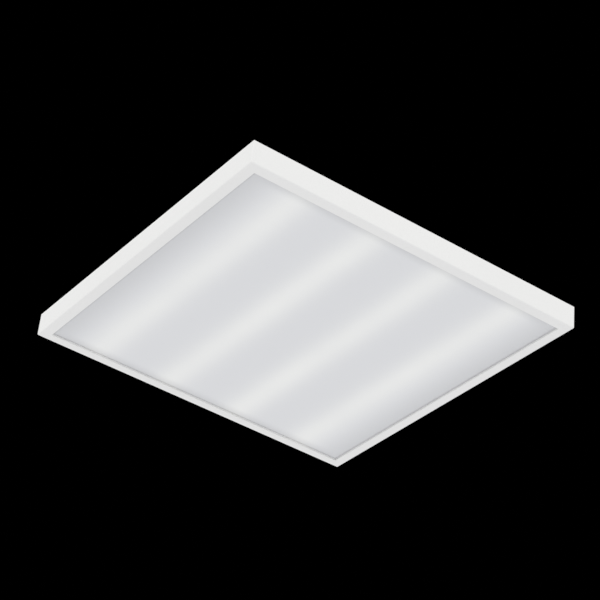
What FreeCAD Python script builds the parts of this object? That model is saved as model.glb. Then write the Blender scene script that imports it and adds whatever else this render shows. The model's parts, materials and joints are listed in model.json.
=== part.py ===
import FreeCAD, Part
import math
import os
import re
import Sketcher
from FreeCAD import Placement, Rotation, Vector

# Recessed troffer light for a 600 mm ceiling grid, in millimetres.
# The origin is the centre of the lit face, with the lip's visible side at Z = 0 and the back at +Z.
# The four light boards run along X.

DOC = FreeCAD.newDocument("troffer_light")

SIZES = {
    # folded steel body
    "module_side": 595.0,
    "body_depth": 40.0,
    "sheet_steel": 0.6,
    "lip_width": 17.0,
    "hem_height": 2.5,
    "bend_radius": 3.0,
    "corner_radius": 0.9,
    "flange_width": 10.0,
    "plate_inset": 2.0,
    "edge_screw_inset": 6.0,
    "edge_screw_pitch": 260.0,
    # pressed ribs in the back plate
    "rib_height": 1.5,
    "rib_width": 12.0,
    "long_rib_length": 490.0,
    "cross_rib_length": 200.0,
    "cross_rib_distance": 215.0,
    # diffuser sheet and the springs that hold it
    "diffuser_side": 573.0,
    "diffuser_thickness": 1.5,
    "diffuser_clip_width": 16.0,
    "diffuser_clip_rise": 14.0,
    "diffuser_clip_reach": 13.0,
    "diffuser_clip_pitch": 320.0,
    "spring_strip": 0.5,
    # light boards
    "board_pitch": 133.3,
    "board_length": 540.0,
    "board_width": 14.0,
    "board_thickness": 1.0,
    "chip_count": 18,
    "chip_pitch": 30.0,
    "chip_length": 3.5,
    "chip_width": 2.8,
    "chip_height": 0.7,
    "board_rivet_count": 5,
    "board_rivet_pitch": 120.0,
    "board_hole_radius": 1.7,
    "connector_length": 10.0,
    "connector_width": 9.0,
    "connector_height": 4.0,
    "connector_setback": 1.0,
    "wire_drop": 3.0,
    "thin_wire_radius": 0.6,
    "wire_step": 2.0,
    "link_reach": 12.0,
    "saddle_side": 8.0,
    "saddle_wall": 0.8,
    "saddle_span": 6.6,
    "saddle_slack": 0.3,
    "feed_saddle_pitch": 34.0,
    # gear box on the back
    "gear_length": 330.0,
    "gear_width": 80.0,
    "gear_height": 30.0,
    "lid_skirt": 8.0,
    "lid_gap": 0.5,
    "lid_tab_length": 16.0,
    "lid_tab_reach": 12.0,
    "lid_screw_inset": 7.0,
    "knuckle_radius": 2.2,
    "hinge_pin_radius": 1.0,
    "hinge_running_gap": 0.05,
    "hinge_reach": 2.6,
    "hinge_distance": 110.0,
    "box_knuckle_length": 12.0,
    "lid_knuckle_length": 8.0,
    "knuckle_gap": 0.3,
    "leaf_overlap": 1.0,
    "tab_hole_slack": 0.7,
    "lid_hole_slack": 0.3,
    "gear_rivet_reach": 145.2,
    "gear_rivet_inset": 8.0,
    "lid_screw_head_radius": 4.0,
    "lid_screw_head": 2.2,
    "lid_screw_radius": 1.55,
    "screw_slot_width": 1.0,
    "screw_slot_depth": 1.0,
    # driver
    "driver_length": 165.0,
    "driver_width": 44.0,
    "driver_height": 21.0,
    "driver_centre": 42.0,
    "driver_wall": 1.5,
    "driver_ear": 9.0,
    "driver_ear_overlap": 4.0,
    "driver_ear_width": 10.0,
    "driver_ear_inset": 5.0,
    "moulding_gap": 0.2,
    "standoff_radius": 2.5,
    "standoff_end_inset": 6.0,
    "standoff_side_inset": 4.0,
    "cover_rim_depth": 2.0,
    "cover_rim_wall": 1.2,
    "vent_width": 2.4,
    "vent_pitch": 7.0,
    "circuit_length": 152.0,
    "circuit_width": 38.0,
    "circuit_thickness": 1.6,
    "circuit_rise": 3.0,
    "driver_terminal_length": 11.0,
    "driver_terminal_width": 16.0,
    "driver_terminal_height": 9.0,
    "terminal_slot_length": 4.0,
    "terminal_slot_width": 2.0,
    "terminal_slot_depth": 1.5,
    "terminal_slot_shift": 1.5,
    "transformer_shift": 6.0,
    "core_length": 22.0,
    "core_width": 24.0,
    "core_height": 12.4,
    "core_lift": 0.6,
    "core_yoke": 2.0,
    "core_window_length": 15.0,
    "core_leg_radius": 3.4,
    "winding_radius": 6.9,
    "winding_gap": 0.4,
    "winding_bore_gap": 0.3,
    "large_can_radius": 4.8,
    "large_can_height": 12.0,
    "small_can_radius": 4.0,
    "small_can_height": 11.0,
    "choke_radius": 6.0,
    "choke_height": 8.0,
    "choke_bore": 2.2,
    # supply terminal block with push buttons
    "terminal_centre": -92.0,
    "terminal_length": 30.0,
    "terminal_width": 36.0,
    "terminal_height": 18.0,
    "pole_pitch": 11.0,
    "button_length": 6.0,
    "button_width": 5.0,
    "button_height": 9.0,
    "button_stand": 2.6,
    "button_gap": 0.15,
    "button_offset": -6.0,
    "conductor_hole_radius": 1.7,
    "conductor_hole_depth": 11.0,
    "conductor_drop": 4.0,
    "button_slot_width": 1.0,
    "button_slot_depth": 0.8,
    "well_room": 1.0,
    "pole_groove_width": 0.8,
    "pole_groove_depth": 2.0,
    "clamp_room_length": 14.0,
    "clamp_shift": 4.0,
    "clamp_length": 12.0,
    "clamp_width": 4.0,
    "clamp_bar": 0.8,
    "clamp_spring": 0.4,
    "clamp_spring_height": 2.4,
    "lead_radius": 1.1,
    "lead_entry_rise": 3.5,
    "output_wire_spread": 1.5,
    "connector_wire_spread": 1.6,
    # earth screw and its ring terminal
    "earth_screw_shift": 2.0,
    "earth_screw_inset": 12.0,
    "earth_screw_reach": 2.0,
    "earth_lead_reach": 14.0,
    "tag_radius": 4.0,
    "tag_thickness": 0.8,
    "tag_overlap": 1.0,
    "tag_barrel_length": 7.0,
    "tag_barrel_width": 3.4,
    "tag_barrel_height": 3.2,
    # cable entry
    "entry_height": 12.0,
    "entry_radius": 4.5,
    "grommet_neck_radius": 7.0,
    "grommet_flange_radius": 9.0,
    "grommet_flange": 1.5,
    "grip_centre": -150.0,
    "grip_length": 11.0,
    "grip_width": 32.0,
    "grip_gap": 1.0,
    "grip_height": 20.0,
    "grip_squeeze": 0.3,
    "grip_screw_inset": 5.0,
    "grip_hole_floor": 1.0,
    "grip_screw_floor": 2.0,
    "plate_grommet_centre": 145.0,
    "plate_grommet_radius": 5.0,
    "plate_grommet_flange": 6.6,
    "plate_grommet_bore": 3.4,
    "plate_grommet_lip": 1.0,
    # suspension brackets
    "suspension_spacing": 500.0,
    "suspension_hole_radius": 2.75,
    "bracket_steel": 1.5,
    "bracket_width": 20.0,
    "bracket_bridge": 26.0,
    "bracket_foot": 13.0,
    "bracket_rise": 12.0,
    # swing-out grid clips
    "clip_distance": 275.0,
    "clip_spacing": 300.0,
    "clip_steel": 1.2,
    "clip_length": 54.0,
    "clip_width": 16.0,
    "clip_tab_height": 6.0,
    "clip_washer": 0.5,
    "clip_lift": 0.1,
    "clip_pivot_radius": 2.4,
    "clip_pivot_gap": 0.06,
    "clip_pivot_head": 4.4,
    "clip_pivot_tail": 3.4,
    "clip_washer_radius": 5.0,
    # small fasteners
    "rivet_radius": 1.6,
    "rivet_head_radius": 3.2,
    "rivet_head": 1.1,
    "rivet_tail_radius": 2.4,
    "push_tail_radius": 2.16,
    "screw_radius": 1.4,
    "screw_head_radius": 3.0,
    "screw_head": 1.6,
    "screw_length": 5.0,
    "fastener_gap": 0.1,
    "small_gap": 0.05,
    # how far a cutting shape runs past what it cuts
    "tool_overrun": 1.0,
}

SHEET = DOC.addObject("Spreadsheet::Sheet", "Sizes")
for row, (alias, number) in enumerate(SIZES.items(), start=1):
    SHEET.set(f"A{row}", alias.replace("_", " "))
    SHEET.set(f"B{row}", str(number))
    SHEET.setAlias(f"B{row}", alias)
DOC.recompute()

# Heights and places that several sub-parts share, as formulas of the sheet's sizes.
FRAME_TOP = "(body_depth - sheet_steel)"
HEM_TOP = "(sheet_steel + hem_height)"
BOARD_BOTTOM = "(body_depth - sheet_steel - board_thickness)"
WIRE_LEVEL = "(body_depth - sheet_steel - wire_drop)"
GEAR_FLOOR = "(body_depth + sheet_steel)"
GEAR_RIM = "(body_depth + gear_height - sheet_steel)"
GEAR_TOP = "(body_depth + gear_height)"
HINGE_Y = "(gear_width / 2 + hinge_reach)"
HINGE_Z = "(body_depth + gear_height - knuckle_radius)"
ENTRY_Z = "(body_depth + entry_height)"
LID_SCREW_Y = "-(gear_width / 2 - lid_screw_inset)"
DRIVER_LOW = "(driver_centre - driver_length / 2)"
DRIVER_HIGH = "(driver_centre + driver_length / 2)"
CIRCUIT_BOTTOM = "(body_depth + sheet_steel + driver_wall + circuit_rise)"
CIRCUIT_TOP = "(body_depth + sheet_steel + driver_wall + circuit_rise + circuit_thickness)"
TRANSFORMER_X = "(driver_centre - transformer_shift)"
TERMINAL_TOP = "(body_depth + sheet_steel + terminal_height)"
CONDUCTOR_Z = "(body_depth + entry_height - conductor_drop)"
GRIP_SCREW_Y = "(grip_width / 2 - grip_screw_inset)"
CLIP_BOTTOM = "(body_depth + clip_washer + clip_lift)"
WALL_INSIDE = "(module_side / 2 - sheet_steel)"
BOARD_ROWS = ["-1.5 * board_pitch", "-0.5 * board_pitch", "0.5 * board_pitch", "1.5 * board_pitch"]
POLES = {"live": "-pole_pitch", "neutral": "0", "earth": "pole_pitch"}
QUARTERS = [(1, 1), (-1, 1), (-1, -1), (1, -1)]
# Size, step from the driver's centre along X, and Y of each can capacitor.
CAN_PLACES = {"input": ("large", "-38", "8"), "store": ("large", "-27", "-8"),
              "output": ("small", "24", "9"), "smooth": ("small", "34", "-9")}
# Step from the driver's centre along X, and Y, of each choke.
CHOKE_PLACES = [("-52", "-7"), ("48", "6")]
ALONG_X = Rotation(Vector(0, 1, 0), 90)
RUN_SHARE = 0.45
VOLUME_SLACK = 0.01
LENGTH_SLACK = 1e-3
PARTS = []


def mm(alias):
    """Read one size from the sheet."""
    return float(SHEET.get(alias))


def formula(text):
    """Point every size word of a formula at its cell."""

    def cell(word):
        return f"Sizes.{word[0]}" if word[0] in SIZES else word[0]

    return re.sub(r"[a-z][a-z_]+", cell, text)


def bind(thing, **formulas):
    """Tie properties of an object to formulas of the sheet."""
    for name, text in formulas.items():
        thing.setExpression(name, formula(text))
    return thing


def place(thing, x, y, z):
    """Tie an object's position to three formulas."""
    for letter, text in zip("xyz", (x, y, z)):
        thing.setExpression(f"Placement.Base.{letter}", formula(text))
    return thing


def part(thing, label):
    """Name a finished sub-part and keep it for export."""
    thing.Label = label
    PARTS.append(thing)
    return thing


# ---- solids built from primitives ----

def block(name, length, width, height, x, y, bottom):
    """A box centred on (x, y) that stands on its bottom height."""
    solid = bind(DOC.addObject("Part::Box", name), Length=length, Width=width, Height=height)
    return place(solid, f"({x}) - ({length}) / 2", f"({y}) - ({width}) / 2", bottom)


def rod(name, radius, length, x, y, z, turn=None):
    """A cylinder that starts at a point and runs along Z, or along a turned axis."""
    solid = bind(DOC.addObject("Part::Cylinder", name), Radius=radius, Height=length)
    if turn:
        solid.Placement = Placement(Vector(), turn)
    return place(solid, x, y, z)


def join(name, solids):
    """Fuse touching solids into one."""
    fused = DOC.addObject("Part::MultiFuse", name)
    fused.Shapes = solids
    return fused


def carve(name, base, tools):
    """Cut several tools out of one solid."""
    cut = DOC.addObject("Part::Cut", name)
    cut.Base = base
    cut.Tool = tools[0] if len(tools) == 1 else gather(f"{name}_tools", tools)
    return cut


def gather(name, solids):
    """Hold separate solids together without fusing them."""
    together = DOC.addObject("Part::Compound", name)
    together.Links = solids
    return together


def fastener(name, x, y, seat, head, shank, downward=True, tail=None):
    """A rivet or screw: a head on its seat, a shank through it and, on a rivet, a formed tail."""
    way = 1 if downward else -1
    head_radius, head_height = head
    shank_radius, shank_length = shank
    head_start = seat if downward else f"{seat} - ({head_height})"
    shank_start = f"{seat} - ({shank_length})" if downward else seat
    solids = [
        rod(f"{name}_head", head_radius, head_height, x, y, head_start),
        rod(f"{name}_shank", shank_radius, shank_length, x, y, shank_start),
    ]
    if tail:
        tail_radius, tail_height = tail
        tail_start = f"{seat} - {way} * ({shank_length})"
        tail_start = f"{tail_start} - ({tail_height})" if downward else tail_start
        solids.append(rod(f"{name}_tail", tail_radius, tail_height, x, y, tail_start))
    return join(name, solids)


# ---- solids built from sketches ----

def new_body(name):
    """Start a solid body."""
    return DOC.addObject("PartDesign::Body", name)


def origin_feature(body, role):
    """Find one of a body's own origin planes or axes."""
    return next(item for item in body.Origin.OriginFeatures if item.Role == role)


def new_sketch(body, name, x="0", y="0", z="0", plane="XY_Plane"):
    """Start a sketch on an origin plane, moved by three formulas in the plane's own axes."""
    sketch = body.newObject("Sketcher::SketchObject", name)
    sketch.AttachmentSupport = (origin_feature(body, plane), [""])
    sketch.MapMode = "FlatFace"
    for letter, text in zip("xyz", (x, y, z)):
        sketch.setExpression(f"AttachmentOffset.Base.{letter}", formula(text))
    return sketch


def draw_rectangle(sketch, length, width):
    """Draw a rectangle centred on the sketch's origin."""
    first = sketch.GeometryCount
    across = SIZES["module_side"] / (2 + first)
    corners = [Vector(step * across, side * across) for step, side in ((-1, -1), (1, -1), (1, 1), (-1, 1))]
    for start, end in zip(corners, corners[1:] + corners[:1]):
        sketch.addGeometry(Part.LineSegment(start, end))
    for side in range(4):
        sketch.addConstraint(Sketcher.Constraint("Coincident", first + side, 2, first + (side + 1) % 4, 1))
    for side in (0, 2):
        sketch.addConstraint(Sketcher.Constraint("Horizontal", first + side))
        sketch.addConstraint(Sketcher.Constraint("Vertical", first + side + 1))
    sketch.addConstraint(Sketcher.Constraint("Symmetric", first, 1, first + 1, 2, -1, 1))
    for side, kind, text in ((0, "DistanceX", length), (1, "DistanceY", width)):
        distance = Sketcher.Constraint(kind, first + side, 1, first + side, 2, 2 * across)
        number = sketch.addConstraint(distance)
        sketch.renameConstraint(number, f"size_{first + side}")
        sketch.setExpression(f"Constraints.size_{first + side}", formula(text))
    return sketch


def draw_circle(sketch, radius):
    """Draw a circle about the sketch's origin."""
    number = sketch.addGeometry(Part.Circle(Vector(), Vector(0, 0, 1), 1.0))
    sketch.addConstraint(Sketcher.Constraint("Coincident", number, 3, -1, 1))
    size = sketch.addConstraint(Sketcher.Constraint("Radius", number, 1.0))
    sketch.renameConstraint(size, f"size_{number}")
    sketch.setExpression(f"Constraints.size_{number}", formula(radius))
    return sketch


def pad(body, name, sketch, height):
    """Raise a sketch into a solid."""
    feature = body.newObject("PartDesign::Pad", name)
    feature.Profile = (sketch, [""])
    return bind(feature, Length=height)


def pocket(body, name, sketch, depth):
    """Cut a sketch upwards through the solid, and make sure that it cut something."""
    DOC.recompute()
    before = body.Shape.Volume
    feature = body.newObject("PartDesign::Pocket", name)
    feature.Profile = (sketch, [""])
    feature.Reversed = True
    bind(feature, Length=depth)
    DOC.recompute()
    if body.Shape.Volume > before - LENGTH_SLACK:
        raise RuntimeError(f"{name} cut nothing")
    return feature


def repeat_in_line(body, name, feature, axis, length, count):
    """Repeat a feature along an origin axis."""
    pattern = body.newObject("PartDesign::LinearPattern", name)
    pattern.Originals = [feature]
    pattern.Direction = (origin_feature(body, axis), [""])
    bind(pattern, Length=length, Occurrences=count)
    body.Tip = pattern
    return pattern


def round_edges(body, name, base, wanted, radius):
    """Round the edges of a feature that pass a test."""
    DOC.recompute()
    edges = [f"Edge{n}" for n, edge in enumerate(base.Shape.Edges, start=1) if wanted(edge)]
    feature = body.newObject("PartDesign::Fillet", name)
    feature.Base = (base, edges)
    return bind(feature, Radius=radius)


def is_upright(edge):
    """Tell whether an edge runs along Z."""
    box = edge.BoundBox
    return box.ZLength > LENGTH_SLACK and max(box.XLength, box.YLength) < LENGTH_SLACK


def lies_at(height):
    """Make a test for edges that lie flat at one height."""

    def flat_there(edge):
        box = edge.BoundBox
        return max(abs(box.ZMin - height), abs(box.ZMax - height)) < LENGTH_SLACK

    return flat_there


# ---- wires ----

def lead_shape(points, radius):
    """A round wire along straight runs joined by arcs, each as large as its two runs allow."""
    edges = []
    start = points[0]
    for before, corner, after in zip(points, points[1:], points[2:]):
        arrive = (corner - before).normalize()
        leave = (after - corner).normalize()
        half_turn = arrive.getAngle(leave) / 2
        shorter = min((corner - before).Length, (after - corner).Length)
        trim = RUN_SHARE * shorter
        bend = trim / math.tan(half_turn)
        print(f"  bend radius {bend:.1f} mm on a wire of radius {radius} mm")
        enter = corner - arrive * trim
        leave_point = corner + leave * trim
        inward = (leave - arrive).normalize()
        middle = corner + inward * (bend / math.cos(half_turn) - bend)
        edges.append(Part.LineSegment(start, enter).toShape())
        edges.append(Part.Arc(enter, middle, leave_point).toShape())
        start = leave_point
    edges.append(Part.LineSegment(start, points[-1]).toShape())
    path = Part.Wire(edges)
    section = Part.Wire(Part.Circle(points[0], points[1] - points[0], radius).toShape())
    tube = path.makePipeShell([section], True, False)
    expected = math.pi * radius**2 * path.Length
    if abs(tube.Volume / expected - 1) > VOLUME_SLACK:
        raise RuntimeError("a wire's volume is not its section times its length")
    return tube


def lead(label, routes, radius):
    """One sub-part made of one or more wires."""
    shapes = [lead_shape([Vector(*point) for point in route], radius) for route in routes]
    thing = DOC.addObject("Part::Feature", label)
    thing.Shape = shapes[0] if len(shapes) == 1 else Part.makeCompound(shapes)
    thing.Placement = Placement()
    return part(thing, label)


# ---- steel body ----

def edge_screw_places():
    """Centres of the screws round the back plate, three to a side."""
    inset = "(module_side / 2 - edge_screw_inset)"
    steps = ["-edge_screw_pitch", "0", "edge_screw_pitch"]
    across = [(step, f"{sign}{inset}") for sign in ("", "-") for step in steps]
    return across + [(y, x) for x, y in across]


def frame_shell():
    """Four folded side walls with the face lip, its turned-up hem and the top flange."""
    body = new_body("frame_body")
    outline = draw_rectangle(new_sketch(body, "frame_outline"), "module_side", "module_side")
    blank = pad(body, "frame_blank", outline, FRAME_TOP)
    corners = round_edges(body, "frame_corners", blank, is_upright, "corner_radius")
    bend = round_edges(body, "frame_bend", corners, lies_at(0), "bend_radius")
    DOC.recompute()
    top = max(range(len(bend.Shape.Faces)), key=lambda n: bend.Shape.Faces[n].CenterOfMass.z)
    walls = body.newObject("PartDesign::Thickness", "frame_walls")
    walls.Base = (bend, [f"Face{top + 1}"])
    walls.Reversed = True
    bind(walls, Value="sheet_steel")
    window_side = "module_side - 2 * lip_width"
    window = draw_rectangle(new_sketch(body, "window_outline"), window_side, window_side)
    pocket(body, "frame_window", window, HEM_TOP)
    hem = new_sketch(body, "hem_outline", z="sheet_steel / 2")
    draw_rectangle(hem, f"{window_side} + 2 * sheet_steel", f"{window_side} + 2 * sheet_steel")
    draw_rectangle(hem, window_side, window_side)
    pad(body, "frame_hem", hem, f"{HEM_TOP} - sheet_steel / 2")
    flange = new_sketch(body, "flange_outline", z=f"{FRAME_TOP} - sheet_steel")
    flange_outer = f"2 * {WALL_INSIDE} + sheet_steel"
    flange_inner = f"2 * ({WALL_INSIDE} - flange_width)"
    draw_rectangle(flange, flange_outer, flange_outer)
    draw_rectangle(flange, flange_inner, flange_inner)
    pad(body, "frame_flange", flange, "sheet_steel")
    low = f"{FRAME_TOP} - 2 * sheet_steel"
    drills = [
        rod(f"flange_drill_{n}", "screw_radius + fastener_gap", "3 * sheet_steel", x, y, low)
        for n, (x, y) in enumerate(edge_screw_places())
    ]
    return part(carve("frame_drilled", body, drills), "frame_shell")


def rib(name, length, width, x, y):
    """A pressed rib as two tools: what stands out above the plate and what is hollow below it."""
    depth = "rib_height + sheet_steel"
    rise = block(f"{name}_rise", length, width, depth, x, y, FRAME_TOP)
    inner_length = f"{length} - 2 * sheet_steel"
    inner_width = f"{width} - 2 * sheet_steel"
    low = f"{FRAME_TOP} - sheet_steel"
    hollow = block(f"{name}_hollow", inner_length, inner_width, depth, x, y, low)
    return rise, hollow


def plate_rivet_places():
    """Centres of every rivet hole in the back plate."""
    boards = [(f"{step} * board_rivet_pitch", row) for row in BOARD_ROWS for step in (-2, -1, 0, 1, 2)]
    return boards + gear_rivet_places() + bracket_rivet_places() + clip_places()


def back_plate():
    """The steel plate that closes the body, with pressed ribs and its holes."""
    side = "module_side - 2 * plate_inset"
    sheet = block("plate_sheet", side, side, "sheet_steel", "0", "0", FRAME_TOP)
    ribs = [rib(f"long_rib_{n}", "long_rib_length", "rib_width", "0", f"{sign} * board_pitch")
            for n, sign in enumerate((-1, 1))]
    ribs += [rib(f"cross_rib_{n}", "rib_width", "cross_rib_length", f"{sign} * cross_rib_distance", "0")
             for n, sign in enumerate((-1, 1))]
    pressed = join("plate_pressed", [sheet] + [rise for rise, hollow in ribs])
    holes = [hollow for rise, hollow in ribs]
    deep = "3 * sheet_steel"
    low = f"{FRAME_TOP} - sheet_steel"
    for n, (x, y) in enumerate(edge_screw_places()):
        holes.append(rod(f"plate_screw_hole_{n}", "screw_radius + fastener_gap", deep, x, y, low))
    for n, (x, y) in enumerate(plate_rivet_places()):
        shank = "clip_pivot_radius" if (x, y) in clip_places() else "rivet_radius"
        holes.append(rod(f"plate_rivet_hole_{n}", f"{shank} + fastener_gap", deep, x, y, low))
    lead_hole = "plate_grommet_radius + small_gap"
    holes.append(rod("plate_lead_hole", lead_hole, deep, "plate_grommet_centre", "0", low))
    x, y = earth_place()
    holes.append(rod("plate_earth_hole", "rivet_radius + fastener_gap", deep, x, y, low))
    return part(carve("plate_drilled", pressed, holes), "back_plate")


def back_screws():
    """Screws that hold the back plate to the frame's flange."""
    head = ("screw_head_radius", "screw_head")
    shank = ("screw_radius", "screw_length")
    screws = [
        fastener(f"back_screw_{n}", x, y, "body_depth", head, shank)
        for n, (x, y) in enumerate(edge_screw_places())
    ]
    return part(gather("back_screw_set", screws), "back_screws")


# ---- diffuser ----

def diffuser():
    """The opal sheet that lies on the hem behind the lip."""
    body = new_body("diffuser_body")
    outline = new_sketch(body, "diffuser_outline", z=HEM_TOP)
    draw_rectangle(outline, "diffuser_side", "diffuser_side")
    pad(body, "diffuser_sheet", outline, "diffuser_thickness")
    return part(body, "diffuser")


def diffuser_clips():
    """Bent spring strips on the side walls that press the sheet onto the hem."""
    clips = []
    foot = f"({HEM_TOP} + diffuser_thickness)"
    for side, (across, along) in enumerate((("x", 1), ("x", -1), ("y", 1), ("y", -1))):
        for end in (-1, 1):
            name = f"diffuser_clip_{side}_{'first' if end < 0 else 'second'}"
            step = f"{end} * diffuser_clip_pitch / 2"
            leg_at = f"{along} * ({WALL_INSIDE} - spring_strip / 2)"
            toe_at = f"{along} * ({WALL_INSIDE} - diffuser_clip_reach / 2)"
            leg = ("spring_strip", "diffuser_clip_width", "diffuser_clip_rise", leg_at, step, foot)
            toe = ("diffuser_clip_reach", "diffuser_clip_width", "spring_strip", toe_at, step, foot)
            if across == "y":
                leg = (leg[1], leg[0], leg[2], leg[4], leg[3], leg[5])
                toe = (toe[1], toe[0], toe[2], toe[4], toe[3], toe[5])
            clips.append(join(name, [block(f"{name}_leg", *leg), block(f"{name}_toe", *toe)]))
    return part(gather("diffuser_clip_set", clips), "diffuser_clips")


# ---- light boards ----

def led_board(number, row):
    """One long circuit board with its rivet holes."""
    body = new_body(f"board_body_{number}")
    outline = new_sketch(body, f"board_outline_{number}", y=row, z=BOARD_BOTTOM)
    draw_rectangle(outline, "board_length", "board_width")
    pad(body, f"board_strip_{number}", outline, "board_thickness")
    first = "-(board_rivet_count - 1) / 2 * board_rivet_pitch"
    hole_sketch = new_sketch(body, f"board_hole_{number}", x=first, y=row, z=BOARD_BOTTOM)
    draw_circle(hole_sketch, "board_hole_radius")
    hole = pocket(body, f"board_drill_{number}", hole_sketch, "board_thickness")
    span = "(board_rivet_count - 1) * board_rivet_pitch"
    repeat_in_line(body, f"board_drills_{number}", hole, "X_Axis", span, "board_rivet_count")
    return part(body, f"led_board_{number}")


def led_chips(number, row):
    """The light-emitting chips of one board."""
    body = new_body(f"chip_body_{number}")
    first = "-(chip_count - 1) / 2 * chip_pitch"
    outline = new_sketch(body, f"chip_outline_{number}", x=first, y=row, z=f"{BOARD_BOTTOM} - chip_height")
    chip = pad(body, f"chip_{number}", draw_rectangle(outline, "chip_length", "chip_width"), "chip_height")
    repeat_in_line(body, f"chip_row_{number}", chip, "X_Axis", "(chip_count - 1) * chip_pitch", "chip_count")
    return part(body, f"led_chips_{number}")


def board_rivets():
    """Plastic push rivets that hold the boards to the back plate."""
    rivets = []
    for line, row in enumerate(BOARD_ROWS):
        for step in (-2, -1, 0, 1, 2):
            name = f"board_rivet_{line}_{step + 2}"
            rivets.append(fastener(
                name, f"{step} * board_rivet_pitch", row, BOARD_BOTTOM,
                ("rivet_head_radius", "rivet_head"), ("rivet_radius", "board_thickness + sheet_steel"),
                downward=False, tail=("push_tail_radius", "rivet_head")))
    return part(gather("board_rivet_set", rivets), "board_rivets")


def connector_centre():
    """Centre of the connectors along X."""
    return "(board_length / 2 - connector_setback - connector_length / 2)"


def board_connectors():
    """Wire connectors at the +X end of the boards."""
    connectors = []
    for n, row in enumerate(BOARD_ROWS):
        shell = block(
            f"connector_shell_{n}", "connector_length", "connector_width", "connector_height",
            connector_centre(), row, f"{BOARD_BOTTOM} - connector_height")
        notch = block(
            f"connector_notch_{n}", "connector_length / 2", "connector_width / 3", "connector_height / 4",
            connector_centre(), row, f"{BOARD_BOTTOM} - connector_height")
        connectors.append(carve(f"connector_{n}", shell, [notch]))
    return part(gather("connector_set", connectors), "board_connectors")


def link_wires():
    """Two wires from each board to the next, nested one inside the other."""
    mouth = mm("board_length") / 2 - mm("connector_setback")
    level = mm("body_depth") - mm("sheet_steel") - mm("wire_drop")
    step = mm("wire_step")
    routes = []
    for gap in (-1, 0, 1):
        low = (gap - 0.5) * mm("board_pitch")
        high = (gap + 0.5) * mm("board_pitch")
        for turn in (0.5, 1.5):
            reach = mouth + mm("link_reach") + (1.5 - turn) * step
            near = low + turn * step
            far = high - turn * step
            corners = [(mouth, near), (reach, near), (reach, far), (mouth, far)]
            routes.append([(x, y, level) for x, y in corners])
    return lead("link_wires", routes, mm("thin_wire_radius"))


def saddle(name, x, y, turned):
    """A plastic saddle under the back plate with a slot that two wires pass through."""
    slot_width = "saddle_span - 2 * saddle_wall"
    depth = "(wire_drop + thin_wire_radius + saddle_wall + saddle_slack)"
    bottom = f"{FRAME_TOP} - {depth}"
    slot_height = "(2 * thin_wire_radius + 2 * saddle_slack)"
    slot_bottom = f"{WIRE_LEVEL} - {slot_height} / 2"
    half = "saddle_side / 2"
    if turned:
        shell = block(f"{name}_shell", "saddle_span", half, depth, x, y, bottom)
        slot = block(f"{name}_slot", slot_width, "saddle_side", slot_height, x, y, slot_bottom)
    else:
        shell = block(f"{name}_shell", half, "saddle_span", depth, x, y, bottom)
        slot = block(f"{name}_slot", "saddle_side", slot_width, slot_height, x, y, slot_bottom)
    return carve(name, shell, [slot])


def wire_saddles():
    """Saddles that keep the thin wires off the diffuser."""
    wire_line = "(board_length / 2 - connector_setback + link_reach + wire_step / 2)"
    links = [saddle(f"link_saddle_{n + 1}", wire_line, f"{n} * board_pitch", True) for n in (-1, 0, 1)]
    feed_line = "plate_grommet_centre + {} * feed_saddle_pitch"
    feed = [saddle(f"feed_saddle_{n}", feed_line.format(n), "0", False) for n in (1, 2)]
    return part(gather("saddle_set", links + feed), "wire_saddles")


# ---- gear box ----

def gear_rivet_places():
    """Rivets that hold the gear box to the back plate."""
    inset = "(gear_width / 2 - gear_rivet_inset)"
    return [(f"{step} * gear_rivet_reach", f"{side} * {inset}") for step in (-1, 0, 1) for side in (-1, 1)]


def earth_place():
    """Centre of the earth screw."""
    return ("terminal_centre + earth_screw_shift", "gear_width / 2 - earth_screw_inset")


def knuckle(name, length, x, bore, leaf_bottom, leaf_start):
    """A hinge knuckle about the hinge line, with the leaf that carries it."""
    start = f"{x} - ({length}) / 2"
    barrel = rod(f"{name}_barrel", "knuckle_radius", length, start, HINGE_Y, HINGE_Z, ALONG_X)
    leaf_width = f"({HINGE_Y} - ({leaf_start}))"
    leaf_y = f"{leaf_start} + {leaf_width} / 2"
    leaf = block(f"{name}_leaf", length, leaf_width, "sheet_steel", x, leaf_y, leaf_bottom)
    hole = rod(
        f"{name}_hole", bore, f"{length} + 2 * tool_overrun", f"{start} - tool_overrun",
        HINGE_Y, HINGE_Z, ALONG_X)
    return join(f"{name}_solid", [barrel, leaf]), hole


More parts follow.
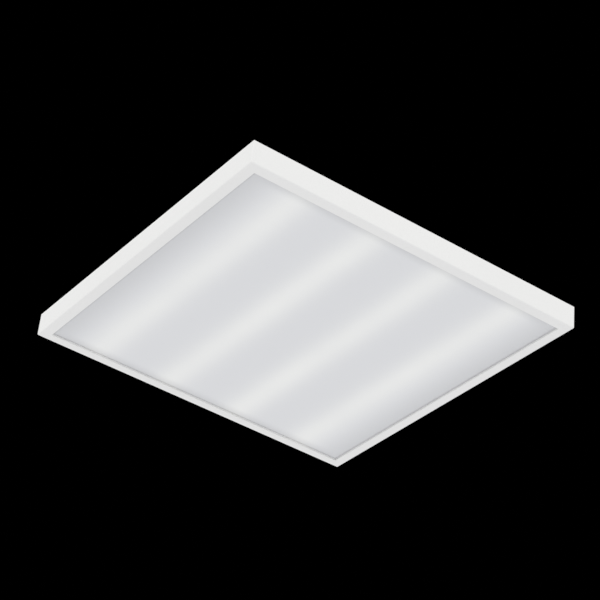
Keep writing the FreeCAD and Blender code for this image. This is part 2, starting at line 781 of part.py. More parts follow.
def gear_box():
    """The folded steel channel for driver and terminals, with its hinge knuckles and screw tab."""
    depth = "gear_height - sheet_steel"
    outer = block("gear_outer", "gear_length", "gear_width", depth, "0", "0", "body_depth")
    inner = block(
        "gear_inner", "gear_length + 2 * tool_overrun", "gear_width - 2 * sheet_steel", "gear_height",
        "0", "0", GEAR_FLOOR)
    solids = [carve("gear_tray", outer, [inner])]
    holes = []
    for n, side in enumerate((-1, 1)):
        solid, hole = knuckle(
            f"box_knuckle_{n}", "box_knuckle_length", f"{side} * hinge_distance", "hinge_pin_radius",
            f"{HINGE_Z} - knuckle_radius", "(gear_width / 2 - sheet_steel / 2)")
        solids.append(solid)
        holes.append(hole)
    tab_y = "-(gear_width / 2 - sheet_steel / 2 - lid_tab_reach / 2)"
    tab_bottom = f"{GEAR_RIM} - sheet_steel"
    solids.append(block("lid_tab", "lid_tab_length", "lid_tab_reach", "sheet_steel", "0", tab_y, tab_bottom))
    deep = "3 * sheet_steel"
    tab_hole = "screw_radius + tab_hole_slack"
    holes.append(rod("lid_tab_hole", tab_hole, deep, "0", LID_SCREW_Y, f"{GEAR_RIM} - 2 * sheet_steel"))
    rivet_hole = "rivet_radius + fastener_gap"
    for n, (x, y) in enumerate(gear_rivet_places() + driver_screw_places() + [earth_place()]):
        holes.append(rod(f"gear_floor_hole_{n}", rivet_hole, deep, x, y, FRAME_TOP))
    lead_hole = "plate_grommet_radius + small_gap"
    holes.append(rod("gear_lead_hole", lead_hole, deep, "plate_grommet_centre", "0", FRAME_TOP))
    return part(carve("gear_box_cut", join("gear_box_solid", solids), holes), "gear_box")


def gear_box_ends():
    """The plates that close the channel's ends, one with the cable entry."""
    width = "gear_width - 2 * sheet_steel"
    depth = f"{GEAR_RIM} - {GEAR_FLOOR}"
    reach = "(gear_length / 2 - sheet_steel / 2)"
    ends = [
        block(f"gear_end_{n}", "sheet_steel", width, depth, f"{side} * {reach}", "0", GEAR_FLOOR)
        for n, side in enumerate((-1, 1))
    ]
    entry = rod(
        "gear_entry_hole", "grommet_neck_radius + small_gap", "2 * grommet_neck_radius",
        "-gear_length / 2 - grommet_neck_radius", "0", ENTRY_Z, ALONG_X)
    return part(gather("gear_end_set", [carve("gear_entry_end", ends[0], [entry]), ends[1]]), "gear_box_ends")


def gear_rivets():
    """Rivets through the gear box floor and the back plate."""
    head = ("rivet_head_radius", "rivet_head")
    shank = ("rivet_radius", "2 * sheet_steel")
    tail = ("rivet_tail_radius", "rivet_head")
    rivets = [
        fastener(f"gear_rivet_{n}", x, y, GEAR_FLOOR, head, shank, tail=tail)
        for n, (x, y) in enumerate(gear_rivet_places())
    ]
    return part(gather("gear_rivet_set", rivets), "gear_rivets")


def gear_lid():
    """The hinged steel cover with skirts on three sides."""
    length = "(gear_length + 2 * lid_gap + 2 * sheet_steel)"
    front = "-(gear_width / 2 + lid_gap + sheet_steel)"
    rear = "(gear_width / 2)"
    width = f"({rear} - ({front}))"
    middle = f"(({rear} + ({front})) / 2)"
    outer = block("lid_outer", length, width, "lid_skirt", "0", middle, f"{GEAR_TOP} - lid_skirt")
    inner = block(
        "lid_inner", f"{length} - 2 * sheet_steel", width, "lid_skirt", "0", f"{middle} + sheet_steel",
        f"{GEAR_RIM} - lid_skirt")
    solids = [carve("lid_pan", outer, [inner])]
    screw_hole = "screw_radius + lid_hole_slack"
    low = f"{GEAR_RIM} - sheet_steel"
    holes = [rod("lid_screw_hole", screw_hole, "3 * sheet_steel", "0", LID_SCREW_Y, low)]
    shift = "(box_knuckle_length / 2 + knuckle_gap + lid_knuckle_length / 2)"
    for n, side in enumerate((-1, 1)):
        for end in (-1, 1):
            name = f"lid_knuckle_{n}_{'near' if end < 0 else 'far'}"
            solid, hole = knuckle(
                name, "lid_knuckle_length", f"({side} * hinge_distance + {end} * {shift})",
                "hinge_pin_radius + hinge_running_gap", GEAR_RIM, f"({rear} - leaf_overlap)")
            solids.append(solid)
            holes.append(hole)
    return part(carve("lid_cut", join("lid_solid", solids), holes), "gear_lid")


def lid_hinge_pins():
    """Steel pins on the hinge line, held in the box's knuckles."""
    length = "(box_knuckle_length + 2 * knuckle_gap + 2 * lid_knuckle_length)"
    pins = []
    for n, side in enumerate((-1, 1)):
        start = f"{side} * hinge_distance - {length} / 2"
        pins.append(rod(f"hinge_pin_{n}", "hinge_pin_radius", length, start, HINGE_Y, HINGE_Z, ALONG_X))
    return part(gather("hinge_pin_set", pins), "lid_hinge_pins")


def lid_screw():
    """The captive screw that holds the cover shut."""
    head = ("lid_screw_head_radius", "lid_screw_head")
    shank = ("lid_screw_radius", "screw_length")
    screw = fastener("lid_screw_solid", "0", LID_SCREW_Y, GEAR_TOP, head, shank)
    slot = block(
        "lid_screw_slot", "2 * lid_screw_head_radius + 2 * tool_overrun", "screw_slot_width",
        "screw_slot_depth + tool_overrun", "0", LID_SCREW_Y,
        f"{GEAR_TOP} + lid_screw_head - screw_slot_depth")
    return part(carve("lid_screw_cut", screw, [slot]), "lid_screw")


# ---- driver ----

def driver_screw_places():
    """Screws through the driver's two fixing ears."""
    inset = "(driver_width / 2 - driver_ear_inset)"
    return [(f"{DRIVER_LOW} - driver_ear / 2", inset), (f"{DRIVER_HIGH} + driver_ear / 2", f"-{inset}")]


def driver_base():
    """The driver's lower shell with standoffs, end slots and fixing ears."""
    body = new_body("driver_base_body")
    outline = new_sketch(body, "driver_outline", x="driver_centre", z=GEAR_FLOOR)
    draw_rectangle(outline, "driver_length", "driver_width")
    pad(body, "driver_blank", outline, "driver_height - driver_wall")
    hollow = new_sketch(body, "driver_hollow", x="driver_centre", z=f"{GEAR_FLOOR} + driver_wall")
    draw_rectangle(hollow, "driver_length - 2 * driver_wall", "driver_width - 2 * driver_wall")
    pocket(body, "driver_room", hollow, "driver_height")
    solids = [body]
    holes = []
    for n, ((x, y), inward) in enumerate(zip(driver_screw_places(), ("+", "-"))):
        ear_x = f"{x} {inward} driver_ear_overlap / 2"
        solids.append(block(
            f"driver_ear_{n}", "driver_ear + driver_ear_overlap", "driver_ear_width", "2 * driver_wall",
            ear_x, y, GEAR_FLOOR))
        hole = "rivet_radius + fastener_gap"
        holes.append(rod(f"driver_ear_hole_{n}", hole, "driver_height", x, y, FRAME_TOP))
    foot = f"{GEAR_FLOOR} + driver_wall / 2"
    for n, (step, side) in enumerate(QUARTERS):
        x = f"driver_centre + {step} * (circuit_length / 2 - standoff_end_inset)"
        y = f"{side} * (circuit_width / 2 - standoff_side_inset)"
        rise = "circuit_rise + driver_wall / 2"
        solids.append(rod(f"driver_standoff_{n}", "standoff_radius", rise, x, y, foot))
    slot_width = "driver_terminal_width + 2 * moulding_gap"
    slot_bottom = f"{CIRCUIT_TOP} - moulding_gap"
    for n, end in enumerate((DRIVER_LOW, DRIVER_HIGH)):
        slot = block(f"driver_slot_{n}", "4 * driver_wall", slot_width, "driver_height", end, "0", slot_bottom)
        holes.append(slot)
    return part(carve("driver_base_cut", join("driver_base_solid", solids), holes), "driver_base")


def driver_cover():
    """The driver's upper shell, a plate with a rim that drops inside the lower shell."""
    top = f"{GEAR_FLOOR} + driver_height"
    plate = block(
        "cover_plate", "driver_length", "driver_width", "driver_wall", "driver_centre", "0",
        f"{top} - driver_wall")
    rim_length = "(driver_length - 2 * driver_wall - 2 * moulding_gap)"
    rim_width = "(driver_width - 2 * driver_wall - 2 * moulding_gap)"
    rim_bottom = f"{top} - driver_wall - cover_rim_depth"
    rim = block(
        "cover_rim", rim_length, rim_width, "cover_rim_depth + driver_wall / 2", "driver_centre", "0",
        rim_bottom)
    hollow = block(
        "cover_hollow", f"{rim_length} - 2 * cover_rim_wall", f"{rim_width} - 2 * cover_rim_wall",
        "cover_rim_depth", "driver_centre", "0", rim_bottom)
    vents = []
    for n, step in enumerate(range(-4, 5)):
        x = f"driver_centre + {step} * vent_pitch"
        low = f"{top} - 2 * driver_wall"
        vents.append(block(f"cover_vent_{n}", "vent_width", "driver_width / 2", "2 * driver_wall", x, "0", low))
    return part(carve("driver_cover_cut", join("driver_cover_solid", [plate, rim]), [hollow] + vents),
                "driver_cover")


def driver_circuit():
    """The driver's circuit board on its standoffs."""
    board = block(
        "circuit_board", "circuit_length", "circuit_width", "circuit_thickness", "driver_centre", "0",
        CIRCUIT_BOTTOM)
    return part(board, "driver_circuit_board")


def driver_terminals():
    """Wire terminals at both ends of the circuit board."""
    blocks = []
    for n, (end, way) in enumerate(((DRIVER_LOW, 1), (DRIVER_HIGH, -1))):
        x = f"{end} + {way} * (driver_terminal_length / 2)"
        shell = block(
            f"driver_terminal_{n}_shell", "driver_terminal_length", "driver_terminal_width",
            "driver_terminal_height", x, "0", CIRCUIT_TOP)
        slot_x = f"{x} + {way} * terminal_slot_shift"
        slot_bottom = f"{CIRCUIT_TOP} + driver_terminal_height - terminal_slot_depth"
        slots = [
            block(f"driver_terminal_{n}_slot_{side + 1}", "terminal_slot_length", "terminal_slot_width",
                  "terminal_slot_width", slot_x, f"{side} * driver_terminal_width / 4", slot_bottom)
            for side in (-1, 1)
        ]
        blocks.append(carve(f"driver_terminal_{n}", shell, slots))
    return part(gather("driver_terminal_set", blocks), "driver_terminals")


def transformer():
    """The driver's transformer: a ferrite core round a wound bobbin."""
    bottom = f"{CIRCUIT_TOP} + core_lift"
    core = block("core_block", "core_length", "core_width", "core_height", TRANSFORMER_X, "0", bottom)
    window = block(
        "core_window", "core_window_length", "2 * core_width", "core_height - 2 * core_yoke",
        TRANSFORMER_X, "0", f"{bottom} + core_yoke")
    leg = rod("core_leg", "core_leg_radius", "core_height - core_yoke", TRANSFORMER_X, "0",
              f"{bottom} + core_yoke / 2")
    return part(join("core_solid", [carve("core_open", core, [window]), leg]), "transformer_core")


def transformer_winding():
    """The transformer's winding, a ring round the core's centre leg."""
    bottom = f"{CIRCUIT_TOP} + core_lift"
    height = "core_height - 2 * core_yoke - 2 * winding_gap"
    outer = rod("winding_outer", "winding_radius", height, TRANSFORMER_X, "0",
                f"{bottom} + core_yoke + winding_gap")
    hole = rod("winding_hole", "core_leg_radius + winding_bore_gap", "core_height", TRANSFORMER_X, "0", bottom)
    return part(carve("winding_ring", outer, [hole]), "transformer_winding")


def capacitors():
    """The driver's can capacitors."""
    cans = [
        rod(f"capacitor_{name}", f"{size}_can_radius", f"{size}_can_height", f"driver_centre + {x}", y,
            CIRCUIT_TOP)
        for name, (size, x, y) in CAN_PLACES.items()
    ]
    return part(gather("capacitor_set", cans), "driver_capacitors")


def chokes():
    """The driver's two choke coils."""
    rings = []
    for n, (shift, y) in enumerate(CHOKE_PLACES):
        x = f"driver_centre + {shift}"
        outer = rod(f"choke_outer_{n}", "choke_radius", "choke_height", x, y, CIRCUIT_TOP)
        hole = rod(f"choke_hole_{n}", "choke_bore", "choke_height + 2 * tool_overrun", x, y,
                   f"{CIRCUIT_TOP} - tool_overrun")
        rings.append(carve(f"choke_{n}", outer, [hole]))
    return part(gather("choke_set", rings), "driver_chokes")


def driver_screws():
    """Screws through the driver's ears into the gear box."""
    head = ("screw_head_radius", "screw_head")
    shank = ("screw_radius", "2 * driver_wall + sheet_steel")
    seat = f"({GEAR_FLOOR} + 2 * driver_wall)"
    screws = [
        fastener(f"driver_screw_{n}", x, y, seat, head, shank)
        for n, (x, y) in enumerate(driver_screw_places())
    ]
    return part(gather("driver_screw_set", screws), "driver_screws")


# ---- supply terminals ----

def terminal_block():
    """The three-pole block with a conductor hole and a button well for each pole."""
    shell = block(
        "terminal_shell", "terminal_length", "terminal_width", "terminal_height", "terminal_centre", "0",
        GEAR_FLOOR)
    well_length = "button_length + 2 * button_gap"
    well_width = "button_width + 2 * button_gap"
    button_x = "terminal_centre + button_offset"
    holes = []
    for pole, y in POLES.items():
        holes.append(block(
            f"{pole}_well", well_length, well_width, "terminal_height", button_x, y,
            f"{TERMINAL_TOP} - button_height - well_room"))
        holes.append(rod(
            f"{pole}_entry", "conductor_hole_radius", "conductor_hole_depth",
            "terminal_centre - terminal_length / 2", y, CONDUCTOR_Z, ALONG_X))
        holes.append(block(
            f"{pole}_clamp_room", "clamp_room_length", well_width, "2 * conductor_hole_radius",
            "terminal_centre - clamp_shift", y, f"{CONDUCTOR_Z} - conductor_hole_radius"))
    for n, side in enumerate((-1, 1)):
        holes.append(block(
            f"terminal_groove_{n}", "terminal_length + 2 * tool_overrun", "pole_groove_width",
            "pole_groove_depth + tool_overrun", "terminal_centre", f"{side} * pole_pitch / 2",
            f"{TERMINAL_TOP} - pole_groove_depth"))
    return part(carve("terminal_block_cut", shell, holes), "terminal_block")


def terminal_clamps():
    """The brass bar and the bent steel spring inside each pole."""
    bar_x = "terminal_centre - clamp_shift"
    spring_x = f"{bar_x} + clamp_length / 2 - clamp_spring"
    bar_bottom = f"{CONDUCTOR_Z} - conductor_hole_radius + fastener_gap"
    spring_bottom = f"{CONDUCTOR_Z} - conductor_hole_radius + clamp_bar"
    clamps = []
    for pole, y in POLES.items():
        bar = block(f"{pole}_bar", "clamp_length", "clamp_width", "clamp_bar", bar_x, y, bar_bottom)
        spring = block(
            f"{pole}_spring", "clamp_spring", "clamp_width", "clamp_spring_height", spring_x, y, spring_bottom)
        clamps.append(join(f"{pole}_clamp", [bar, spring]))
    return part(gather("clamp_set", clamps), "terminal_clamps")


def release_button(pole, y):
    """One spring-loaded button that opens a pole's clamp."""
    x = "terminal_centre + button_offset"
    top = f"{TERMINAL_TOP} + button_stand"
    stem = block(f"{pole}_button_stem", "button_length", "button_width", "button_height", x, y,
                 f"{top} - button_height")
    slot = block(f"{pole}_button_slot", "button_length + 2 * tool_overrun", "button_slot_width",
                 "2 * button_slot_depth", x, y, f"{top} - button_slot_depth")
    return part(carve(f"{pole}_button_cut", stem, [slot]), f"{pole}_button")


def cable_grommet():
    """The rubber ring in the gear box's end wall."""
    wall = "-gear_length / 2"
    outer_start = f"{wall} - grommet_flange"
    flange_radius, neck_radius = "grommet_flange_radius", "grommet_neck_radius"
    outside = rod("grommet_outside", flange_radius, "grommet_flange", outer_start, "0", ENTRY_Z, ALONG_X)
    length = "2 * grommet_flange + sheet_steel"
    neck = rod("grommet_neck", neck_radius, length, outer_start, "0", ENTRY_Z, ALONG_X)
    inner_start = f"{wall} + sheet_steel"
    inside = rod("grommet_inside", flange_radius, "grommet_flange", inner_start, "0", ENTRY_Z, ALONG_X)
    bore = rod("grommet_bore", "entry_radius", f"2 * {neck_radius}", f"{wall} - {neck_radius}", "0",
               ENTRY_Z, ALONG_X)
    return part(carve("grommet_cut", join("grommet_solid", [outside, neck, inside]), [bore]), "cable_grommet")


def grip_jaw(name, height, bottom):
    """One jaw of the cord grip, with its half of the cable channel and its screw holes."""
    jaw = block(f"grip_{name}", "grip_length", "grip_width", height, "grip_centre", "0", bottom)
    channel = rod(
        f"grip_{name}_channel", "entry_radius - grip_squeeze", "grip_length + 2 * tool_overrun",
        "grip_centre - grip_length / 2 - tool_overrun", "0", ENTRY_Z, ALONG_X)
    holes = [
        rod(f"grip_{name}_hole_{n}", "screw_radius + fastener_gap", "grip_height", "grip_centre",
            f"{side} * {GRIP_SCREW_Y}", f"{GEAR_FLOOR} + grip_hole_floor")
        for n, side in enumerate((-1, 1))
    ]
    return carve(f"grip_{name}_jaw", jaw, [channel] + holes)


def cord_grip():
    """The lower and upper jaws that clamp the supply cable."""
    split = f"({ENTRY_Z} - grip_gap / 2)"
    upper_height = f"{GEAR_FLOOR} + grip_height - {split} - grip_gap"
    part(grip_jaw("lower", f"{split} - {GEAR_FLOOR}", GEAR_FLOOR), "cord_grip_base")
    part(grip_jaw("upper", upper_height, f"{split} + grip_gap"), "cord_grip_bar")
    head = ("screw_head_radius", "screw_head")
    shank = ("screw_radius", "grip_height - grip_screw_floor")
    seat = f"({GEAR_FLOOR} + grip_height)"
    screws = [
        fastener(f"grip_screw_{n}", "grip_centre", f"{side} * {GRIP_SCREW_Y}", seat, head, shank)
        for n, side in enumerate((-1, 1))
    ]
    return part(gather("grip_screw_set", screws), "cord_grip_screws")


def earth_screw():
    """The screw that bonds the steel body to the earth lead, its head on the ring terminal."""
    x, y = earth_place()
    shank = ("screw_radius", "2 * sheet_steel + tag_thickness + earth_screw_reach")
    seat = f"({GEAR_FLOOR} + tag_thickness)"
    screw = fastener("earth_screw_solid", x, y, seat, ("screw_head_radius", "screw_head"), shank)
    return part(screw, "earth_screw")


def earth_tag():
    """The ring terminal of the earth lead under its screw."""
    x, y = earth_place()
    ring = rod("earth_ring", "tag_radius", "tag_thickness", x, y, GEAR_FLOOR)
    barrel_x = f"{x} + tag_radius - tag_overlap + tag_barrel_length / 2"
    barrel = block("earth_barrel", "tag_barrel_length", "tag_barrel_width", "tag_barrel_height", barrel_x, y,
                   GEAR_FLOOR)
    hole = rod("earth_ring_hole", "screw_radius + 2 * fastener_gap", "3 * tag_thickness", x, y,
               f"{GEAR_FLOOR} - tag_thickness")
    return part(carve("earth_tag_cut", join("earth_tag_solid", [ring, barrel]), [hole]), "earth_tag")


def lead_entry_height():
    """Height at which leads enter the driver's terminals."""
    board_top = mm("driver_wall") + mm("circuit_rise") + mm("circuit_thickness")
    return mm("body_depth") + mm("sheet_steel") + board_top + mm("lead_entry_rise")


def supply_route(start, end, first_bend, second_bend):
    """A lead's points: level, across and up between two bends, given as shares of its run, and level."""
    (near_x, near_y, near_z), (far_x, far_y, far_z) = start, end
    run = far_x - near_x
    first = (near_x + first_bend * run, near_y, near_z)
    second = (near_x + second_bend * run, far_y, far_z)
    return [start, first, second, end]


def gear_leads():
    """The wires inside the gear box."""
    radius = mm("lead_radius")
    block_end = mm("terminal_centre") + mm("terminal_length") / 2
    driver_in = mm("driver_centre") - mm("driver_length") / 2
    entry = lead_entry_height()
    pole = mm("pole_pitch")
    level = mm("body_depth") + mm("entry_height") - mm("conductor_drop")
    quarter = mm("driver_terminal_width") / 4
    live = supply_route((block_end, -pole, level), (driver_in, -quarter, entry), 0.3, 0.6)
    neutral = supply_route((block_end, 0, level), (driver_in, quarter, entry), 0.35, 0.65)
    lead("live_lead", [live], radius)
    lead("neutral_lead", [neutral], radius)
    tag_reach = mm("tag_radius") - mm("tag_overlap") + mm("tag_barrel_length")
    tag_end = mm("terminal_centre") + mm("earth_screw_shift") + tag_reach
    tag_y = mm("gear_width") / 2 - mm("earth_screw_inset")
    tag_z = mm("body_depth") + mm("sheet_steel") + mm("tag_barrel_height") / 2
    bend = block_end + mm("earth_lead_reach")
    earth = [(block_end, pole, level), (bend, pole, level), (bend, tag_y, tag_z), (tag_end, tag_y, tag_z)]
    lead("earth_lead", [earth], radius)


def output_leads():
    """Two wires from the driver through the back plate to the boards."""
    level = mm("body_depth") - mm("sheet_steel") - mm("wire_drop")
    entry = lead_entry_height()
    driver_out = mm("driver_centre") + mm("driver_length") / 2
    down = mm("plate_grommet_centre")
    connector_x = mm("board_length") / 2 - mm("connector_setback") - mm("connector_length") / 2
    connector_y = -mm("board_pitch") / 2 + mm("connector_width") / 2
    routes = []
    for side in (-1, 1):
        y = side * mm("output_wire_spread")
        x = connector_x + side * mm("connector_wire_spread")
        above = [(driver_out, y, entry), (down, y, entry)]
        below = [(down, y, level), (x, y, level), (x, connector_y, level)]
        routes.append(above + below)
    return lead("output_leads", routes, mm("thin_wire_radius"))


def plate_grommet():
    """The small ring through which the output leads enter the body."""
    x, lip, radius = "plate_grommet_centre", "plate_grommet_lip", "plate_grommet_flange"
    above = rod("plate_grommet_above", radius, lip, x, "0", GEAR_FLOOR)
    neck = rod("plate_grommet_neck", "plate_grommet_radius", f"2 * sheet_steel + 2 * {lip}", x, "0",
               f"{FRAME_TOP} - {lip}")
    below = rod("plate_grommet_below", radius, lip, x, "0", f"{FRAME_TOP} - {lip}")
    bore = rod("plate_grommet_bore_hole", "plate_grommet_bore", f"2 * sheet_steel + 4 * {lip}", x, "0",
               f"{FRAME_TOP} - 2 * {lip}")
    ring = join("plate_grommet_solid", [above, neck, below])
    return part(carve("plate_grommet_cut", ring, [bore]), "plate_grommet")


# ---- suspension brackets ----

def bracket_rivet_places():
    """Two rivets for each suspension bracket."""
    reach = "(bracket_bridge / 2 + bracket_foot / 2)"
    return [(f"{step} * suspension_spacing / 2 + {end} * {reach}", f"{side} * suspension_spacing / 2")
            for step, side in QUARTERS for end in (-1, 1)]


def suspension_brackets():
    """Four raised straps with a hole for a hanging wire or rod."""
    whole = "(bracket_bridge + 2 * bracket_foot)"
    brackets = []
    for n, (step, side) in enumerate(QUARTERS):
        x = f"{step} * suspension_spacing / 2"
        y = f"{side} * suspension_spacing / 2"
        feet = block(f"bracket_feet_{n}", whole, "bracket_width", "bracket_steel", x, y, "body_depth")
        bridge = block(f"bracket_bridge_{n}", "bracket_bridge", "bracket_width", "bracket_rise", x, y,
                       "body_depth")
        tunnel = block(
            f"bracket_tunnel_{n}", "bracket_bridge - 2 * bracket_steel", "bracket_width + 2 * tool_overrun",
            "bracket_rise", x, y, "body_depth - bracket_steel")
        hole = rod(f"bracket_hole_{n}", "suspension_hole_radius", "bracket_rise", x, y,
                   "body_depth + bracket_rise / 2")
        rivet_places = bracket_rivet_places()[2 * n:2 * n + 2]
        tools = [tunnel, hole] + [
            rod(f"bracket_rivet_hole_{n}_{k}", "rivet_radius + fastener_gap", "4 * bracket_steel",
                rivet_x, rivet_y, "body_depth - bracket_steel")
            for k, (rivet_x, rivet_y) in enumerate(rivet_places)
        ]
        brackets.append(carve(f"bracket_{n}", join(f"bracket_strap_{n}", [feet, bridge]), tools))
    return part(gather("bracket_set", brackets), "suspension_brackets")


def bracket_rivets():
    """Rivets that hold the suspension brackets."""
    head = ("rivet_head_radius", "rivet_head")
    shank = ("rivet_radius", "bracket_steel + sheet_steel")
    tail = ("rivet_tail_radius", "rivet_head")
    rivets = [
        fastener(f"bracket_rivet_{n}", x, y, "(body_depth + bracket_steel)", head, shank, tail=tail)
        for n, (x, y) in enumerate(bracket_rivet_places())
    ]
    return part(gather("bracket_rivet_set", rivets), "bracket_rivets")


# ---- swing-out grid clips ----

def clip_places():
    """Pivots of the swing-out clips."""
    return [(f"{step} * clip_distance", f"{side} * clip_spacing / 2") for step, side in QUARTERS]


def grid_clip(number, x, y, inward):
    """One clip arm, folded in along the side of the body, with a finger tab at its tip."""
    name = f"clip_{number}"
    middle = f"{y} + {inward} * (clip_length / 2 - clip_width / 2)"
    arm = block(f"{name}_arm", "clip_width", "clip_length - clip_width", "clip_steel", x, middle, CLIP_BOTTOM)
    eye = rod(f"{name}_eye", "clip_width / 2", "clip_steel", x, y, CLIP_BOTTOM)
    tip = f"{y} + {inward} * (clip_length - clip_width - clip_steel / 2)"
    tab = block(f"{name}_tab", "clip_width", "clip_steel", "clip_tab_height", x, tip, CLIP_BOTTOM)
    bead = block(f"{name}_bead", "clip_width / 3", "clip_length / 2", "clip_steel", x, middle,
                 f"{CLIP_BOTTOM} + clip_steel / 2")
    hole = rod(f"{name}_hole", "clip_pivot_radius + clip_pivot_gap", "clip_tab_height", x, y,
               "body_depth - tool_overrun")
    solid = join(f"{name}_solid", [arm, eye, tab, bead])
    return part(carve(f"{name}_cut", solid, [hole]), f"grid_clip_{number}")


def clip_pivots():
    """Shouldered rivets that the clips turn on."""
    seat = f"({CLIP_BOTTOM} + clip_steel + clip_lift)"
    head = ("clip_pivot_head", "rivet_head")
    shank = ("clip_pivot_radius", f"{seat} - {FRAME_TOP}")
    tail = ("clip_pivot_tail", "rivet_head")
    pivots = []
    for n, (x, y) in enumerate(clip_places()):
        pin = fastener(f"clip_pin_{n}", x, y, seat, head, shank, tail=tail)
        washer = rod(f"clip_washer_{n}", "clip_washer_radius", "clip_washer", x, y, "body_depth")
        pivots.append(join(f"clip_pivot_{n}", [pin, washer]))
    return part(gather("clip_pivot_set", pivots), "grid_clip_pivots")


# ---- whole light ----

def build():
    """Make every sub-part."""
    frame_shell()
    back_plate()
    back_screws()
    diffuser()
    diffuser_clips()
    for number, row in enumerate(BOARD_ROWS, start=1):
        led_board(number, row)
        led_chips(number, row)
    board_rivets()
    board_connectors()
    link_wires()
    wire_saddles()
    gear_box()
    gear_box_ends()
    gear_rivets()
    gear_lid()
    lid_hinge_pins()
    lid_screw()
    driver_base()
    driver_cover()
    driver_circuit()
    driver_terminals()
    transformer()
    transformer_winding()
    capacitors()
    chokes()
    driver_screws()
    terminal_block()
    terminal_clamps()
    for pole, y in POLES.items():
        release_button(pole, y)
    cable_grommet()
    cord_grip()
    earth_screw()
    earth_tag()
    gear_leads()
    output_leads()
    plate_grommet()
    suspension_brackets()
    bracket_rivets()
    for number, ((x, y), (step, side)) in enumerate(zip(clip_places(), QUARTERS), start=1):
        grid_clip(number, x, y, -side)
    clip_pivots()


def check_and_export():
    """Stop on any failed object or bad shape, then write one file for each sub-part."""
    for thing in DOC.Objects:
        if "Invalid" in thing.State or "Error" in thing.State:
            raise RuntimeError(f"{thing.Name} failed: {thing.State}")
    for thing in PARTS:
        if thing.Shape.isNull() or not thing.Shape.isValid():
            raise RuntimeError(f"{thing.Label} has a bad shape")
    os.makedirs("parts", exist_ok=True)
    for thing in PARTS:
        thing.Shape.exportStep(f"parts/{thing.Label}.step")
        box = thing.Shape.BoundBox
        print(f"{thing.Label}: {len(thing.Shape.Solids)} solids, {thing.Shape.Volume:.0f} mm3, "
              f"z {box.ZMin:.2f} to {box.ZMax:.2f}")


build()
DOC.recompute()
check_and_export()
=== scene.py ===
import json
import math
import bpy
from bpy.props import FloatProperty, FloatVectorProperty, IntProperty, PointerProperty
from mathutils import Matrix, Vector


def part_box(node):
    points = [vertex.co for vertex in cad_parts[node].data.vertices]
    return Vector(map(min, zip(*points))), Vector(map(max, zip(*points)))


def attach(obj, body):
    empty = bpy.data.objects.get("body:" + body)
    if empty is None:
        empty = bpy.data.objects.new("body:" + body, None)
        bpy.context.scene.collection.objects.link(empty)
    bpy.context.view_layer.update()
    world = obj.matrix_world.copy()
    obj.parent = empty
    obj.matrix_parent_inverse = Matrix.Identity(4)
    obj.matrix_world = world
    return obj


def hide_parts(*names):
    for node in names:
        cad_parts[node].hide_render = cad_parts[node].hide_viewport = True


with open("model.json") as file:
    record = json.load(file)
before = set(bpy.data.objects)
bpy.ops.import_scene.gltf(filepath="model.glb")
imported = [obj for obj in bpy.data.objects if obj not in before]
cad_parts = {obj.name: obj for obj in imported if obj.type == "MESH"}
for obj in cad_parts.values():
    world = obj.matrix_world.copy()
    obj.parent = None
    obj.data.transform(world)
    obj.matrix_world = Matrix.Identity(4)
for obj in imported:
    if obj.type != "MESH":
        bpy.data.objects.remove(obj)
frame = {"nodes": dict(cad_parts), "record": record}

# Dressing and stage for a recessed troffer light. Lengths are metres, in the frame of the model.

bl_info = {
    "name": "Troffer Light Dressing",
    "version": (1, 0, 0),
    "blender": (4, 5, 0),
    "location": "3D View > Sidebar > Troffer",
    "description": "Finishes, fasteners, driver parts and stage for a recessed troffer light",
    "category": "Object",
}

HOUSING = "housing"
LIGHT_BOARDS = 4
GRID_CLIPS = 4
MICROMETRE = 1e-6
WELD_DISTANCE = MICROMETRE
SHEET_STEEL = 0.0006
# Centre and half size, in plan, of each rib in the back plate.
RIBS = [((0.0, 0.1333), (0.245, 0.006)), ((0.0, -0.1333), (0.245, 0.006)),
        ((0.215, 0.0), (0.006, 0.1)), ((-0.215, 0.0), (0.006, 0.1))]


# ---- properties ----

class TrofferSizes(bpy.types.PropertyGroup):
    """Sizes of the modelled details."""
    dome_segments: IntProperty(
        name="Dome Segments", description="Steps in a rounded head", default=4, min=2, max=8)
    recess_width: FloatProperty(
        name="Recess Width", description="Width of a screw's cross slot", default=0.0009, unit="LENGTH")
    choke_turns: IntProperty(
        name="Choke Turns", description="Turns of wire on each choke", default=16, min=6, max=30)
    choke_wire: FloatProperty(
        name="Choke Wire", description="Radius of the choke's wire", default=0.00055, unit="LENGTH")
    edge_round: FloatProperty(
        name="Edge Round", description="Rounding of moulded edges", default=0.0003, unit="LENGTH")
    fold_round: FloatProperty(
        name="Fold Round", description="Rounding of edges on thin steel", default=0.00025, unit="LENGTH")
    rib_round: FloatProperty(
        name="Rib Round", description="Rounding of a rib's top edges", default=0.0009, unit="LENGTH")


class TrofferColours(bpy.types.PropertyGroup):
    """Colours of the finishes."""
    coat: FloatVectorProperty(
        name="Powder Coat", description="White coat of the steel body", default=(0.93, 0.93, 0.915),
        size=3, subtype="COLOR")
    diffuser: FloatVectorProperty(
        name="Diffuser", description="Opal sheet between the bright bands", default=(0.846, 0.856, 0.868),
        size=3, subtype="COLOR")
    band: FloatVectorProperty(
        name="Band Light", description="Light of the boards seen through the sheet",
        default=(1.0, 0.98, 0.78), size=3, subtype="COLOR")
    zinc: FloatVectorProperty(
        name="Zinc", description="Galvanised steel", default=(0.62, 0.635, 0.65), size=3, subtype="COLOR")
    floor: FloatVectorProperty(
        name="Floor", description="Plain pale floor", default=(0.889, 0.889, 0.903), size=3, subtype="COLOR")


# ---- node helpers ----

ROUGHNESS_SPREAD = 0.06


